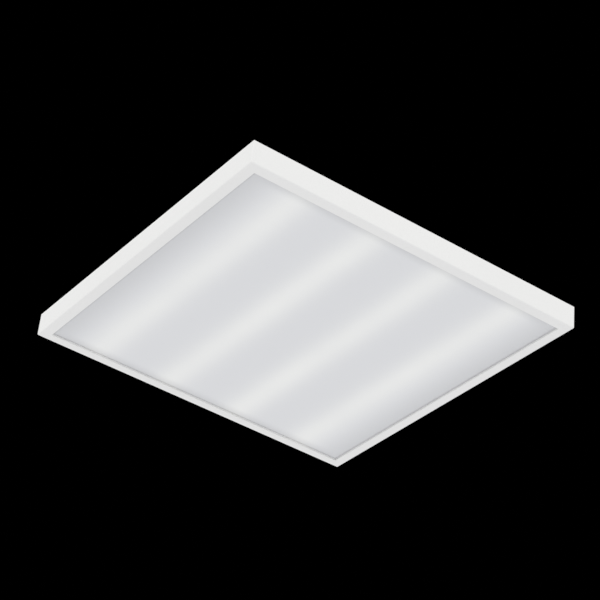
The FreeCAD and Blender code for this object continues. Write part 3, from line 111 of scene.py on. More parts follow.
def new_material(name):
    """Start a node material; its tree and shader."""
    material = bpy.data.materials.new(f"{name}_finish")
    material.use_nodes = True
    nodes = material.node_tree.nodes
    nodes.clear()
    output = nodes.new("ShaderNodeOutputMaterial")
    shader = nodes.new("ShaderNodeBsdfPrincipled")
    material.node_tree.links.new(shader.outputs["BSDF"], output.inputs["Surface"])
    return material.node_tree, shader


def object_place(tree):
    """The object-space position."""
    return tree.nodes.new("ShaderNodeTexCoord").outputs["Object"]


def value_math(tree, operation, *items):
    """One arithmetic node on its inputs, each a socket or a number."""
    node = tree.nodes.new("ShaderNodeMath")
    node.operation = operation
    for slot, item in zip(node.inputs, items):
        if isinstance(item, bpy.types.NodeSocket):
            tree.links.new(item, slot)
        else:
            slot.default_value = item
    return node.outputs[0]


def noise(tree, place, scale, detail=2.0):
    """Noise at a scale in cells per metre."""
    node = tree.nodes.new("ShaderNodeTexNoise")
    node.inputs["Scale"].default_value = scale
    node.inputs["Detail"].default_value = detail
    tree.links.new(place, node.inputs["Vector"])
    return node.outputs["Fac"]


def ramp(tree, factor, stops):
    """A colour ramp through (position, colour) stops."""
    node = tree.nodes.new("ShaderNodeValToRGB")
    elements = node.color_ramp.elements
    while len(elements) < len(stops):
        elements.new(1.0)
    for element, (position, colour) in zip(elements, stops):
        element.position = position
        element.color = (*colour, 1.0)
    tree.links.new(factor, node.inputs["Fac"])
    return node.outputs["Color"]


def shade_of(colour, factor):
    """A colour made lighter or darker."""
    return tuple(min(1.0, part * factor) for part in colour)


def raise_bump(tree, shader, height, depth, strength=1.0):
    """Drive the shader's normal by a height in metres."""
    node = tree.nodes.new("ShaderNodeBump")
    node.inputs["Distance"].default_value = depth
    node.inputs["Strength"].default_value = strength
    tree.links.new(height, node.inputs["Height"])
    tree.links.new(node.outputs["Normal"], shader.inputs["Normal"])


def vary_roughness(tree, shader, factor, low, high):
    """Spread the shader's roughness between two values."""
    node = tree.nodes.new("ShaderNodeMapRange")
    node.inputs["To Min"].default_value = low
    node.inputs["To Max"].default_value = high
    tree.links.new(factor, node.inputs["Value"])
    tree.links.new(node.outputs["Result"], shader.inputs["Roughness"])


def mottled(name, colour, rough, grain, depth, spread, broad, metallic=0.0, specular=0.5):
    """A finish whose colour drifts slowly and whose surface has a fine grain."""
    tree, shader = new_material(name)
    place = object_place(tree)
    drift = noise(tree, place, broad, detail=3.0)
    fine = noise(tree, place, grain)
    deeper, lighter = shade_of(colour, 1 - spread), shade_of(colour, 1 + spread / 2)
    tree.links.new(ramp(tree, drift, [(0.3, deeper), (0.7, lighter)]), shader.inputs["Base Color"])
    shader.inputs["Metallic"].default_value = metallic
    shader.inputs["Specular IOR Level"].default_value = specular
    vary_roughness(tree, shader, fine, rough - ROUGHNESS_SPREAD, rough + ROUGHNESS_SPREAD)
    raise_bump(tree, shader, fine, depth)


# ---- finishes ----

# Half the distance between opposite hems, and a place just behind them from which the sheet brightens.
HEM_EDGE = 0.281
SHADE_EDGE = 0.283

# How far in from those the painted shade line at the hem and the softer painted shade at the boards' ends
# and sides reach; the fall at the ends also dims the glow.
SEAM_SHADE_REACH = 0.006
END_REACH = 0.025
SIDE_REACH = 0.058

# Half width and strength of the light below a board, and the share of it left at the board's ends.
BAND_HALF_WIDTH = 0.028
BAND_STRENGTH = 0.11
BAND_END_SHARE = 0.6

# The sheet's colour at a corner of the hem and along it, darkened as painted shade.
CORNER_SHADE = 0.66
HEM_SHADE = 0.86

# Slow patches in the glow, in cells per metre, and the least and the range of their strength.
PATCH_SCALE = 7.0
PATCH_LEAST = 0.75
PATCH_RANGE = 0.5

PRISMS_PER_METRE = 400.0
PRISM_DEPTH = 0.00008

# How deep the floor looks, against the light that it throws back.
FLOOR_SEEN = 0.8


def powder_coat(name, colour):
    """White powder coat with a faint orange-peel surface."""
    mottled(name, colour, rough=0.5, grain=900.0, depth=0.00002, spread=0.012, broad=5.0, specular=0.25)


def galvanised(colour):
    """Zinc-coated sheet with its crystal spangle."""
    tree, shader = new_material("galvanised_steel")
    place = object_place(tree)
    cells = tree.nodes.new("ShaderNodeTexVoronoi")
    cells.inputs["Scale"].default_value = 170.0
    tree.links.new(place, cells.inputs["Vector"])
    grey = tree.nodes.new("ShaderNodeSeparateColor")
    tree.links.new(cells.outputs["Color"], grey.inputs["Color"])
    tone = ramp(tree, grey.outputs["Red"], [(0.0, shade_of(colour, 0.86)), (1.0, shade_of(colour, 1.12))])
    tree.links.new(tone, shader.inputs["Base Color"])
    shader.inputs["Metallic"].default_value = 0.75
    vary_roughness(tree, shader, grey.outputs["Green"], 0.38, 0.55)
    raise_bump(tree, shader, noise(tree, place, 700.0), depth=0.00001)


def edge_falloff(tree, axis, edge, reach):
    """One in the middle of the sheet, falling on one axis over the last reach before an edge."""
    distance = value_math(tree, "ABSOLUTE", axis)
    node = tree.nodes.new("ShaderNodeMapRange")
    node.interpolation_type = "SMOOTHSTEP"
    node.inputs["From Min"].default_value = edge
    node.inputs["From Max"].default_value = edge - reach
    tree.links.new(distance, node.inputs["Value"])
    return node.outputs["Result"]


def band_of_light(tree, across, number):
    """The soft bell of brightness below one light board."""
    low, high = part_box(f"led_board_{number}")
    offset = value_math(tree, "SUBTRACT", across, (low.y + high.y) / 2)
    steps = value_math(tree, "DIVIDE", offset, BAND_HALF_WIDTH)
    square = value_math(tree, "MULTIPLY", steps, steps)
    return value_math(tree, "POWER", math.e, value_math(tree, "MULTIPLY", square, -1.0))


def opal_sheet(colour, band_colour):
    """Opal prismatic sheet, with a soft bright band below each light board and painted shade darkening it
    towards the hem.
    """
    tree, shader = new_material("opal_sheet")
    place = object_place(tree)
    axes = tree.nodes.new("ShaderNodeSeparateXYZ")
    tree.links.new(place, axes.inputs["Vector"])
    along, across = axes.outputs["X"], axes.outputs["Y"]
    bands = band_of_light(tree, across, 1)
    for number in range(2, LIGHT_BOARDS + 1):
        bands = value_math(tree, "ADD", bands, band_of_light(tree, across, number))
    ends = edge_falloff(tree, along, SHADE_EDGE, END_REACH)
    sides = edge_falloff(tree, across, SHADE_EDGE, SIDE_REACH)
    shares = value_math(tree, "MULTIPLY_ADD", ends, 1 - BAND_END_SHARE, BAND_END_SHARE)
    glow = value_math(tree, "MULTIPLY", bands, shares)
    drift = value_math(tree, "MULTIPLY_ADD", noise(tree, place, PATCH_SCALE), PATCH_RANGE, PATCH_LEAST)
    strength = value_math(tree, "MULTIPLY", value_math(tree, "MULTIPLY", glow, drift), BAND_STRENGTH)
    shader.inputs["Emission Color"].default_value = (*band_colour, 1.0)
    tree.links.new(strength, shader.inputs["Emission Strength"])
    # Painted shade: the sheet's base colour darkens towards the hem, most in the corners and in a thin line
    # along the hem, where less light reaches it.
    rim = value_math(tree, "MULTIPLY", ends, sides)
    seam_shades = [edge_falloff(tree, axis, HEM_EDGE, SEAM_SHADE_REACH) for axis in (along, across)]
    level = value_math(tree, "MULTIPLY_ADD", value_math(tree, "MULTIPLY", *seam_shades), 0.5,
                       value_math(tree, "MULTIPLY", rim, 0.5))
    shade_tones = [(0.0, shade_of(colour, CORNER_SHADE)), (0.5, shade_of(colour, HEM_SHADE)), (1.0, colour)]
    tree.links.new(ramp(tree, level, shade_tones), shader.inputs["Base Color"])
    shader.inputs["Roughness"].default_value = 0.42
    shader.inputs["Specular IOR Level"].default_value = 0.3
    prisms = tree.nodes.new("ShaderNodeTexVoronoi")
    prisms.feature = "F1"
    prisms.distance = "CHEBYCHEV"
    prisms.inputs["Scale"].default_value = PRISMS_PER_METRE
    prisms.inputs["Randomness"].default_value = 0.0
    tree.links.new(place, prisms.inputs["Vector"])
    raise_bump(tree, shader, prisms.outputs["Distance"], PRISM_DEPTH, strength=0.25)


def printed_board(name, mask, second_mask, tracks_colour, scale, gap, rough):
    """Solder mask in two close shades with tracks below it."""
    tree, shader = new_material(name)
    tracks = tree.nodes.new("ShaderNodeTexBrick")
    for slot, colour in (("Color1", mask), ("Color2", second_mask), ("Mortar", tracks_colour)):
        tracks.inputs[slot].default_value = (*colour, 1)
    tracks.inputs["Scale"].default_value = scale
    tracks.inputs["Mortar Size"].default_value = gap
    tree.links.new(object_place(tree), tracks.inputs["Vector"])
    tree.links.new(tracks.outputs["Color"], shader.inputs["Base Color"])
    shader.inputs["Roughness"].default_value = rough
    return tree, shader, tracks.outputs["Fac"]


def light_board():
    """White solder mask with faint copper tracks below it."""
    printed_board("board_white", (0.9, 0.9, 0.88), (0.88, 0.885, 0.87), (0.8, 0.8, 0.76),
                  scale=60.0, gap=0.03, rough=0.35)


def circuit_green():
    """Green solder mask with lighter, raised tracks."""
    tree, shader, relief = printed_board(
        "circuit_green", (0.03, 0.16, 0.06), (0.035, 0.19, 0.075), (0.07, 0.3, 0.12),
        scale=140.0, gap=0.05, rough=0.3)
    raise_bump(tree, shader, relief, depth=0.00003)


def earth_sleeve():
    """Green insulation with a yellow stripe along it."""
    tree, shader = new_material("lead_green")
    place = object_place(tree)
    wave = tree.nodes.new("ShaderNodeTexWave")
    wave.bands_direction = "Z"
    wave.inputs["Scale"].default_value = 130.0
    tree.links.new(place, wave.inputs["Vector"])
    tone = ramp(tree, wave.outputs["Fac"], [(0.45, (0.08, 0.34, 0.06)), (0.55, (0.8, 0.66, 0.04))])
    tree.links.new(tone, shader.inputs["Base Color"])
    shader.inputs["Roughness"].default_value = 0.4


def capacitor_sleeve():
    """Dark sleeve on the can's side and bare aluminium on its top."""
    tree, shader = new_material("capacitor_sleeve")
    axes = tree.nodes.new("ShaderNodeSeparateXYZ")
    facing = tree.nodes.new("ShaderNodeTexCoord")
    tree.links.new(facing.outputs["Normal"], axes.inputs["Vector"])
    top = value_math(tree, "GREATER_THAN", axes.outputs["Z"], 0.85)
    tone = ramp(tree, top, [(0.0, (0.02, 0.03, 0.09)), (1.0, (0.72, 0.72, 0.73))])
    tree.links.new(tone, shader.inputs["Base Color"])
    tree.links.new(top, shader.inputs["Metallic"])
    shader.inputs["Roughness"].default_value = 0.32


def floor_finish(colour):
    """Plain pale floor, a shade deeper where it is seen than in the light that it throws back."""
    tree, shader = new_material("floor")
    path = tree.nodes.new("ShaderNodeLightPath")
    seen = value_math(tree, "MAXIMUM", path.outputs["Is Camera Ray"], path.outputs["Is Glossy Ray"])
    tone = ramp(tree, seen, [(0.0, colour), (1.0, shade_of(colour, FLOOR_SEEN))])
    tree.links.new(tone, shader.inputs["Base Color"])
    shader.inputs["Roughness"].default_value = 0.8
    shader.inputs["Specular IOR Level"].default_value = 0.1
    raise_bump(tree, shader, noise(tree, object_place(tree), 60.0), depth=0.0002)


def finish_of(slot):
    """The finish made for a material slot."""
    return bpy.data.materials[f"{slot}_finish"]


PLASTIC_COLOURS = {
    "white_nylon": (0.86, 0.86, 0.83), "white_wire": (0.85, 0.85, 0.82),
    "driver_plastic": (0.84, 0.84, 0.81), "terminal_grey": (0.5, 0.51, 0.52),
    "lead_brown": (0.11, 0.045, 0.02), "lead_blue": (0.02, 0.09, 0.42),
    "button_brown": (0.13, 0.05, 0.02), "button_blue": (0.02, 0.1, 0.45),
    "button_green": (0.04, 0.28, 0.05), "winding_tape": (0.72, 0.45, 0.05),
    "light_chip": (0.9, 0.75, 0.3), "grommet_rubber": (0.02, 0.02, 0.021),
}
METAL_COLOURS = {
    "zinc_fasteners": (0.7, 0.7, 0.7), "spring_steel": (0.55, 0.55, 0.56),
    "tinned_tag": (0.72, 0.7, 0.66), "copper_coil": (0.62, 0.25, 0.09),
}
FERRITE_COLOUR = (0.045, 0.045, 0.05)


def make_finishes(colours):
    """Make the finish of every material slot."""
    powder_coat("white_powder_coat", colours.coat)
    powder_coat("white_plate_paint", shade_of(colours.coat, 0.97))
    opal_sheet(colours.diffuser, colours.band)
    galvanised(colours.zinc)
    light_board()
    circuit_green()
    earth_sleeve()
    capacitor_sleeve()
    mottled("ferrite", FERRITE_COLOUR, rough=0.6, grain=1800.0, depth=0.00003, spread=0.2, broad=60.0)
    for name, colour in PLASTIC_COLOURS.items():
        mottled(name, colour, rough=0.42, grain=1500.0, depth=0.000012, spread=0.03, broad=40.0)
    for name, colour in METAL_COLOURS.items():
        mottled(name, colour, rough=0.3, grain=1200.0, depth=0.00001, spread=0.08, broad=80.0, metallic=0.9)


# ---- modelling helpers ----

# Degrees. Edges gentler than the first are shaded smooth, sharper ones than the second are rounded, and
# faces that differ by less than the third are joined.
SMOOTH_ANGLE = 40
ROUND_ANGLE = 35
FLAT_ANGLE = 1

# A face lies level when this much of its normal is vertical.
LEVEL_NORMAL = 0.95


def clear_selection():
    """Leave nothing selected and no object in edit mode."""
    if bpy.context.mode != "OBJECT":
        bpy.ops.object.mode_set(mode="OBJECT")
    bpy.ops.object.select_all(action="DESELECT")


def take(piece):
    """Make a piece the only selected and active object."""
    clear_selection()
    piece.select_set(True)
    bpy.context.view_layer.objects.active = piece


def add_cylinder(name, radius, height, base, vertices=32):
    """Add a cylinder that stands on the centre of its base."""
    clear_selection()
    centre = Vector(base) + Vector((0, 0, height / 2))
    bpy.ops.mesh.primitive_cylinder_add(vertices=vertices, radius=radius, depth=height, location=centre)
    bpy.context.object.name = name
    return bpy.context.object


def add_block(name, sizes, base):
    """Add a box that stands on the centre of its base."""
    clear_selection()
    centre = Vector(base) + Vector((0, 0, sizes[2] / 2))
    bpy.ops.mesh.primitive_cube_add(size=1.0, location=centre)
    piece = bpy.context.object
    piece.name = name
    piece.scale = sizes
    bpy.ops.object.transform_apply(location=False, rotation=False, scale=True)
    return piece


def choose(piece, kind, wanted):
    """Enter edit mode with only the wanted faces or edges selected."""
    take(piece)
    bpy.ops.object.mode_set(mode="EDIT")
    bpy.ops.mesh.select_mode(type=kind)
    bpy.ops.mesh.select_all(action="DESELECT")
    bpy.ops.object.mode_set(mode="OBJECT")
    items = piece.data.polygons if kind == "FACE" else piece.data.edges
    for item in items:
        item.select = wanted(item)
    bpy.ops.object.mode_set(mode="EDIT")


def leave_edit():
    """Return to object mode."""
    bpy.ops.object.mode_set(mode="OBJECT")


def settle(piece):
    """Put a piece's place into its mesh."""
    take(piece)
    bpy.ops.object.transform_apply(location=True, rotation=True, scale=True)
    return piece


def apply_modifier(piece, kind, **settings):
    """Add one modifier and apply it."""
    take(piece)
    modifier = piece.modifiers.new(kind.lower(), kind)
    for name, setting in settings.items():
        setattr(modifier, name, setting)
    bpy.ops.object.modifier_apply(modifier=modifier.name)


def cut(piece, tool):
    """Cut a piece with a tool, and remove the tool."""
    apply_modifier(piece, "BOOLEAN", operation="DIFFERENCE", object=tool, solver="EXACT")
    bpy.data.objects.remove(tool)


def round_over(piece, width, segments=2, limit=ROUND_ANGLE):
    """Bevel the sharp edges of a piece."""
    apply_modifier(piece, "BEVEL", width=width, segments=segments, limit_method="ANGLE",
                   angle_limit=math.radians(limit), harden_normals=False)


def smooth(piece):
    """Shade gentle edges smooth."""
    take(piece)
    bpy.ops.object.shade_smooth_by_angle(angle=math.radians(SMOOTH_ANGLE))


def copies(piece, places):
    """Copy a piece, modelled at the origin, to each place with its own mesh, then join them."""
    take(piece)
    made = []
    for place in places:
        twin = piece.copy()
        twin.data = piece.data.copy()
        twin.location = place
        bpy.context.collection.objects.link(twin)
        made.append(twin)
    name = piece.name
    bpy.data.objects.remove(piece)
    return merge(name, made)


def merge(name, pieces):
    """Join several pieces into one."""
    clear_selection()
    for piece in pieces:
        piece.select_set(True)
    bpy.context.view_layer.objects.active = pieces[0]
    if len(pieces) > 1:
        bpy.ops.object.join()
    whole = bpy.context.view_layer.objects.active
    whole.name = name
    return settle(whole)


def dress(piece, finish, body=HOUSING, nodes=()):
    """Give a finished piece its material, its body and the nodes that it stands for."""
    piece.data.materials.clear()
    piece.data.materials.append(finish_of(finish))
    smooth(piece)
    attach(piece, body)
    if nodes:
        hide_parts(*nodes)


def own_copy(node):
    """A copy of a CAD node's shape, merged and with each flat side as one face."""
    piece = bpy.data.objects.new(f"{node}_softened", frame["nodes"][node].data.copy())
    bpy.context.collection.objects.link(piece)
    take(piece)
    bpy.ops.object.mode_set(mode="EDIT")
    bpy.ops.mesh.select_all(action="SELECT")
    bpy.ops.mesh.remove_doubles(threshold=WELD_DISTANCE)
    bpy.ops.mesh.dissolve_limited(angle_limit=math.radians(FLAT_ANGLE))
    leave_edit()
    return piece


def slot_of(node):
    """The material slot that the record gives a node."""
    return next(row["material_slot"] for row in frame["record"]["subparts"] if row["node"] == node)


def soften(node, width, body=HOUSING):
    """A CAD node's own shape with its hard edges rounded, in place of the node."""
    piece = own_copy(node)
    round_over(piece, width)
    dress(piece, slot_of(node), body, [node])


def islands(node):
    """The box of each separate solid of a node, in order of place."""
    mesh = frame["nodes"][node].data
    keys = [tuple(round(part / MICROMETRE) for part in vertex.co) for vertex in mesh.vertices]
    parent = {key: key for key in keys}

    def root(key):
        while parent[key] != key:
            parent[key] = parent[parent[key]]
            key = parent[key]
        return key

    for face in mesh.polygons:
        first, *others = [keys[index] for index in face.vertices]
        for other in others:
            parent[root(other)] = root(first)
    groups = {}
    for key in parent:
        groups.setdefault(root(key), []).append(Vector(key) * MICROMETRE)
    boxes = []
    for points in groups.values():
        low = Vector([min(point[axis] for point in points) for axis in range(3)])
        high = Vector([max(point[axis] for point in points) for axis in range(3)])
        boxes.append((low, high))
    return sorted(boxes, key=lambda box: tuple(round(part, 4) for part in box[0]))


# ---- fasteners ----

# Heads and shanks as the CAD fasteners have them.
SCREW_HEAD = 0.0016
SCREW_RADIUS = 0.0014
LID_SCREW_HEAD = 0.0022
LID_SCREW_RADIUS = 0.00155
RIVET_HEAD = 0.0011
RIVET_RADIUS = 0.0016
PIVOT_HEAD_RADIUS = 0.0044
PIVOT_RADIUS = 0.0024
PIVOT_TAIL_RADIUS = 0.0034
PIVOT_WASHER = 0.0005
PIVOT_WASHER_DROP = 0.0019

# The head radius that the recess width is given for.
RECESS_HEAD_RADIUS = 0.003

# Shares of a head's height.
SCREW_DOME = 0.62
SLOT_DEPTH = 0.55
RIVET_DOME = 0.8
DIMPLE_DEPTH = 0.35
TAIL_ROUND = 0.4
WASHER_ROUND = 0.3

# Shares of a head's or a shank's radius.
SLOT_REACH = 1.15
DIMPLE_RIM = 0.18
TAIL_REACH = 1.4

# A face or edge belongs to a head's top above this share of its height, and to its seat below this height.
TOP_SHARE = 0.9
SEAT_HEIGHT = 1e-5


def cut_cross(piece, reach, width, top, depth):
    """Cut a cross slot into the top of a head."""
    for number, sizes in enumerate(((reach, width, depth * 2), (width, reach, depth * 2))):
        cut(piece, add_block(f"cross_tool_{number}", sizes, (0, 0, top - depth)))


def domed_head(name, radius, height, vertices, dome, profile, segments):
    """A head on the origin with the rim of its top rounded over."""
    head = settle(add_cylinder(name, radius, height, (0, 0, 0), vertices))
    top = height * TOP_SHARE
    choose(head, "EDGE", lambda edge: all(head.data.vertices[v].co.z > top for v in edge.vertices))
    bpy.ops.mesh.bevel(offset=height * dome, segments=segments, profile=profile)
    leave_edit()
    return head


def draw_face(thickness, distance):
    """Inset the selected faces and move what is inside along Z."""
    bpy.ops.mesh.inset(thickness=thickness)
    bpy.ops.mesh.extrude_region_move(TRANSFORM_OT_translate={"value": (0, 0, distance)})
    leave_edit()


def draw_shank(head, head_radius, radius, length):
    """Draw a shank down out of a head's seat."""
    choose(head, "FACE", lambda face: face.normal.z < -LEVEL_NORMAL and face.center.z < SEAT_HEIGHT)
    draw_face(head_radius - radius, -length)


def screw(name, head_radius, head_height, shank_radius, shank_length, sizes):
    """A pan-head screw with a cross slot, its seat at the origin."""
    head = domed_head(name, head_radius, head_height, vertices=32, dome=SCREW_DOME, profile=0.55,
                      segments=sizes.dome_segments)
    width = sizes.recess_width * head_radius / RECESS_HEAD_RADIUS
    cut_cross(head, head_radius * SLOT_REACH, width, head_height, head_height * SLOT_DEPTH)
    draw_shank(head, head_radius, shank_radius, shank_length)
    return head


def rivet(name, head_radius, shank_radius, shank_length, sizes):
    """A domed rivet with the dimple of its mandrel, its seat at the origin."""
    head = domed_head(name, head_radius, RIVET_HEAD, vertices=28, dome=RIVET_DOME, profile=0.5,
                      segments=sizes.dome_segments)
    top = RIVET_HEAD * TOP_SHARE
    choose(head, "FACE", lambda face: face.normal.z > LEVEL_NORMAL and face.center.z > top)
    draw_face(head_radius * DIMPLE_RIM, -RIVET_HEAD * DIMPLE_DEPTH)
    draw_shank(head, head_radius, shank_radius, shank_length)
    return head


def middle_of(box):
    """Centre of a box in plan."""
    return (box[0].x + box[1].x) / 2, (box[0].y + box[1].y) / 2


def set_fasteners(node, model, boxes, head_height, body=HOUSING):
    """Put a copy of a fastener in each place where the node has one, in place of the node."""
    places = [(*middle_of(box), box[1].z - head_height) for box in boxes]
    dress(copies(model, places), "zinc_fasteners", body, [node])


def screws_for(node, head_height, shank_radius, sizes, body=HOUSING):
    """Pan-head screws in place of a node's plain ones."""
    boxes = islands(node)
    low, high = boxes[0]
    length = high.z - low.z - head_height
    model = screw(f"{node}_dressed", (high.x - low.x) / 2, head_height, shank_radius, length, sizes)
    set_fasteners(node, model, boxes, head_height, body)


def rivets_for(node, sizes):
    """Domed rivets in place of a node's plain ones, with their tails."""
    boxes = islands(node)
    low, high = boxes[0]
    length = high.z - low.z - 2 * RIVET_HEAD
    model = rivet(f"{node}_dressed", (high.x - low.x) / 2, RIVET_RADIUS, length, sizes)
    tail = add_cylinder("tail", RIVET_RADIUS * TAIL_REACH, RIVET_HEAD, (0, 0, -length - RIVET_HEAD), 20)
    round_over(settle(tail), RIVET_HEAD * TAIL_ROUND)
    set_fasteners(node, merge(f"{node}_dressed", [model, tail]), boxes, RIVET_HEAD)


def clip_pivots(sizes):
    """Shouldered rivets, each with a tail below and the washer that keeps its clip off the plate."""
    node = "grid_clip_pivots"
    boxes = islands(node)
    low, high = boxes[0]
    length = high.z - low.z - 2 * RIVET_HEAD
    pin = rivet(f"{node}_dressed", PIVOT_HEAD_RADIUS, PIVOT_RADIUS, length, sizes)
    tail = add_cylinder("pivot_tail", PIVOT_TAIL_RADIUS, RIVET_HEAD, (0, 0, -length - RIVET_HEAD), 24)
    washer = add_cylinder("pivot_washer", (high.x - low.x) / 2, PIVOT_WASHER, (0, 0, -PIVOT_WASHER_DROP))
    round_over(settle(tail), RIVET_HEAD * TAIL_ROUND)
    round_over(settle(washer), PIVOT_WASHER * WASHER_ROUND)
    set_fasteners(node, merge(f"{node}_dressed", [pin, tail, washer]), boxes, RIVET_HEAD)


# ---- driver parts ----

# Shares of a capacitor can's radius or height.
CAN_RIM = 0.22
CAN_SHOULDER = 0.12
CAN_HOLLOW = 0.02
VENT_REACH = 1.1
VENT_WIDTH = 0.07
VENT_DEPTH = 0.015
GROOVE_RADIUS = 0.95
TOOL_REACH = 1.4
GROOVE_FOOT = 0.1
GROOVE_WIDTH = 0.05

# A choke's bore as a share of its radius, the share of a full turn that is wound, the angle in radians that
# the winding starts at, and how much of its width each turn keeps.
CHOKE_BORE = 0.45
WOUND_SHARE = 0.86
WOUND_START = 0.4
TURN_SQUEEZE = 0.96

# Every second tape layer is narrower by this share of the winding's radius. The flanges reach past it.
TAPE_LAYERS = 5
TAPE_STEP = 0.015
FLANGE_THICKNESS = 0.0006
FLANGE_REACH = 1.04

# Surface parts lie on both long sides of the board, in two sizes.
PART_PITCH = 0.0062
PART_LINE = 0.0155
PART_SIZES = ((0.0016, 0.0030, 0.0011), (0.0032, 0.0016, 0.0009))
PART_ROUND = 0.00015
PACKAGES = (((-0.0185, 0.006), (0.006, 0.005, 0.0016)),
            ((0.0130, -0.004), (0.0065, 0.0045, 0.0018)),
            ((0.0410, -0.007), (0.005, 0.005, 0.0016)))
PACKAGE_ROUND = 0.0003
LEG_SIZES = (0.0007, 0.0012, 0.0004)
LEG_PITCH = 0.0017
LEG_REACH = 0.0004


def rounded_can(name, radius, height):
    """A can with a groove near its foot, a rounded shoulder and a vent cross."""
    can = settle(add_cylinder(name, radius, height, (0, 0, 0), 36))
    choose(can, "FACE", lambda face: face.normal.z > LEVEL_NORMAL)
    draw_face(radius * CAN_RIM, -height * CAN_HOLLOW)
    round_over(can, radius * CAN_SHOULDER, segments=3, limit=50)
    top = height * (1 - CAN_HOLLOW)
    cut_cross(can, radius * VENT_REACH, radius * VENT_WIDTH, top, height * VENT_DEPTH)
    foot = height * GROOVE_FOOT
    width = height * GROOVE_WIDTH
    groove = add_cylinder("groove_tool", radius * TOOL_REACH, width, (0, 0, foot), 36)
    core = add_cylinder("groove_core", radius * GROOVE_RADIUS, width * 1.6, (0, 0, foot - width * 0.3), 36)
    cut(groove, core)
    cut(can, groove)
    return can


def capacitors():
    """The driver's can capacitors."""
    cans = []
    for number, (low, high) in enumerate(islands("driver_capacitors")):
        can = rounded_can(f"can_{number}", (high.x - low.x) / 2, high.z - low.z)
        can.location = (*middle_of((low, high)), low.z)
        cans.append(settle(can))
    dress(merge("capacitors_dressed", cans), "capacitor_sleeve", HOUSING, ["driver_capacitors"])


def wound_turn(name, inner, outer, height, wire):
    """One turn of wire round a ring's section: a rounded loop of tube on the +X side."""
    clear_selection()
    centre = (outer + inner) / 2
    half_width = (outer - inner) / 2
    bpy.ops.mesh.primitive_torus_add(
        major_segments=20, minor_segments=8, major_radius=half_width + wire, minor_radius=wire,
        location=(centre, 0, height / 2), rotation=(math.pi / 2, 0, 0))
    loop = bpy.context.object
    loop.name = name
    settle(loop)
    for vertex in loop.data.vertices:
        lift = vertex.co.z - height / 2
        vertex.co.z = height / 2 + lift * (height / 2) / half_width
        vertex.co.x = centre + (vertex.co.x - centre) * TURN_SQUEEZE
    return loop


def chokes(sizes):
    """Ring cores with turns of enamelled wire."""
    wire = sizes.choke_wire
    cores = []
    windings = []
    for number, (low, high) in enumerate(islands("driver_chokes")):
        place = (*middle_of((low, high)), low.z + 2 * wire)
        outer = (high.x - low.x) / 2 - 2 * wire
        inner = outer * CHOKE_BORE
        rise = high.z - low.z - 4 * wire
        ring = add_cylinder(f"choke_core_{number}", outer, rise, (0, 0, 0), 36)
        cut(ring, add_cylinder("choke_hole_tool", inner, rise * 3, (0, 0, -rise), 28))
        round_over(settle(ring), sizes.edge_round * 2)
        ring.location = place
        cores.append(settle(ring))
        turns = []
        for turn in range(sizes.choke_turns):
            loop = wound_turn(f"turn_{number}_{turn}", inner, outer, rise, wire)
            angle = math.tau * WOUND_SHARE * turn / sizes.choke_turns + WOUND_START
            loop.matrix_world = Matrix.Translation(place) @ Matrix.Rotation(angle, 4, "Z")
            turns.append(settle(loop))
        windings.append(merge(f"choke_winding_{number}", turns))
    dress(merge("choke_windings", windings), "copper_coil", HOUSING, ["driver_chokes"])
    dress(merge("choke_cores", cores), "ferrite")


def transformer():
    """Tape layers and bobbin flanges of the transformer."""
    low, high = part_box("transformer_winding")
    x, y = middle_of((low, high))
    radius = (high.x - low.x) / 2
    step = (high.z - low.z) / TAPE_LAYERS
    layers = []
    for number in range(TAPE_LAYERS):
        layer_radius = radius * (1.0 - TAPE_STEP * (number % 2))
        layer = add_cylinder(f"tape_{number}", layer_radius, step, (x, y, low.z + number * step), 40)
        round_over(settle(layer), step / 6)
        layers.append(layer)
    dress(merge("winding_dressed", layers), "winding_tape", HOUSING, ["transformer_winding"])
    flanges = []
    for height in (low.z - FLANGE_THICKNESS, high.z):
        flange = add_cylinder("flange", radius * FLANGE_REACH, FLANGE_THICKNESS, (x, y, height), 40)
        flanges.append(settle(flange))
    dress(merge("bobbin_flanges", flanges), "terminal_grey")


def circuit_parts():
    """Small surface parts, a bridge and a controller on the driver's circuit board."""
    low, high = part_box("driver_circuit_board")
    centre_x = (low.x + high.x) / 2
    chips = []
    for column in range(-5, 6):
        for line, offset in enumerate((-PART_LINE, PART_LINE)):
            if (column + line) % 3 == 0:
                continue
            place = (centre_x + column * PART_PITCH, offset, high.z)
            chip = add_block(f"part_{column}_{line}", PART_SIZES[(column + line) % 2], place)
            round_over(settle(chip), PART_ROUND, 1)
            chips.append(chip)
    dress(merge("surface_parts", chips), "ferrite")
    packages = []
    for number, ((x, y), sizes) in enumerate(PACKAGES):
        package = add_block(f"package_{number}", sizes, (centre_x + x, y, high.z))
        round_over(settle(package), PACKAGE_ROUND)
        packages.append(package)
        for side in (-1, 1):
            for leg in range(-1, 2):
                place = (centre_x + x + leg * LEG_PITCH, y + side * (sizes[1] / 2 + LEG_REACH), high.z)
                packages.append(settle(add_block("leg", LEG_SIZES, place)))
    dress(merge("circuit_packages", packages), "ferrite")


# ---- back plate ----

# Share of the room below a rib's top rounding that the rounding at its foot takes.
FOOT_SHARE = 0.95


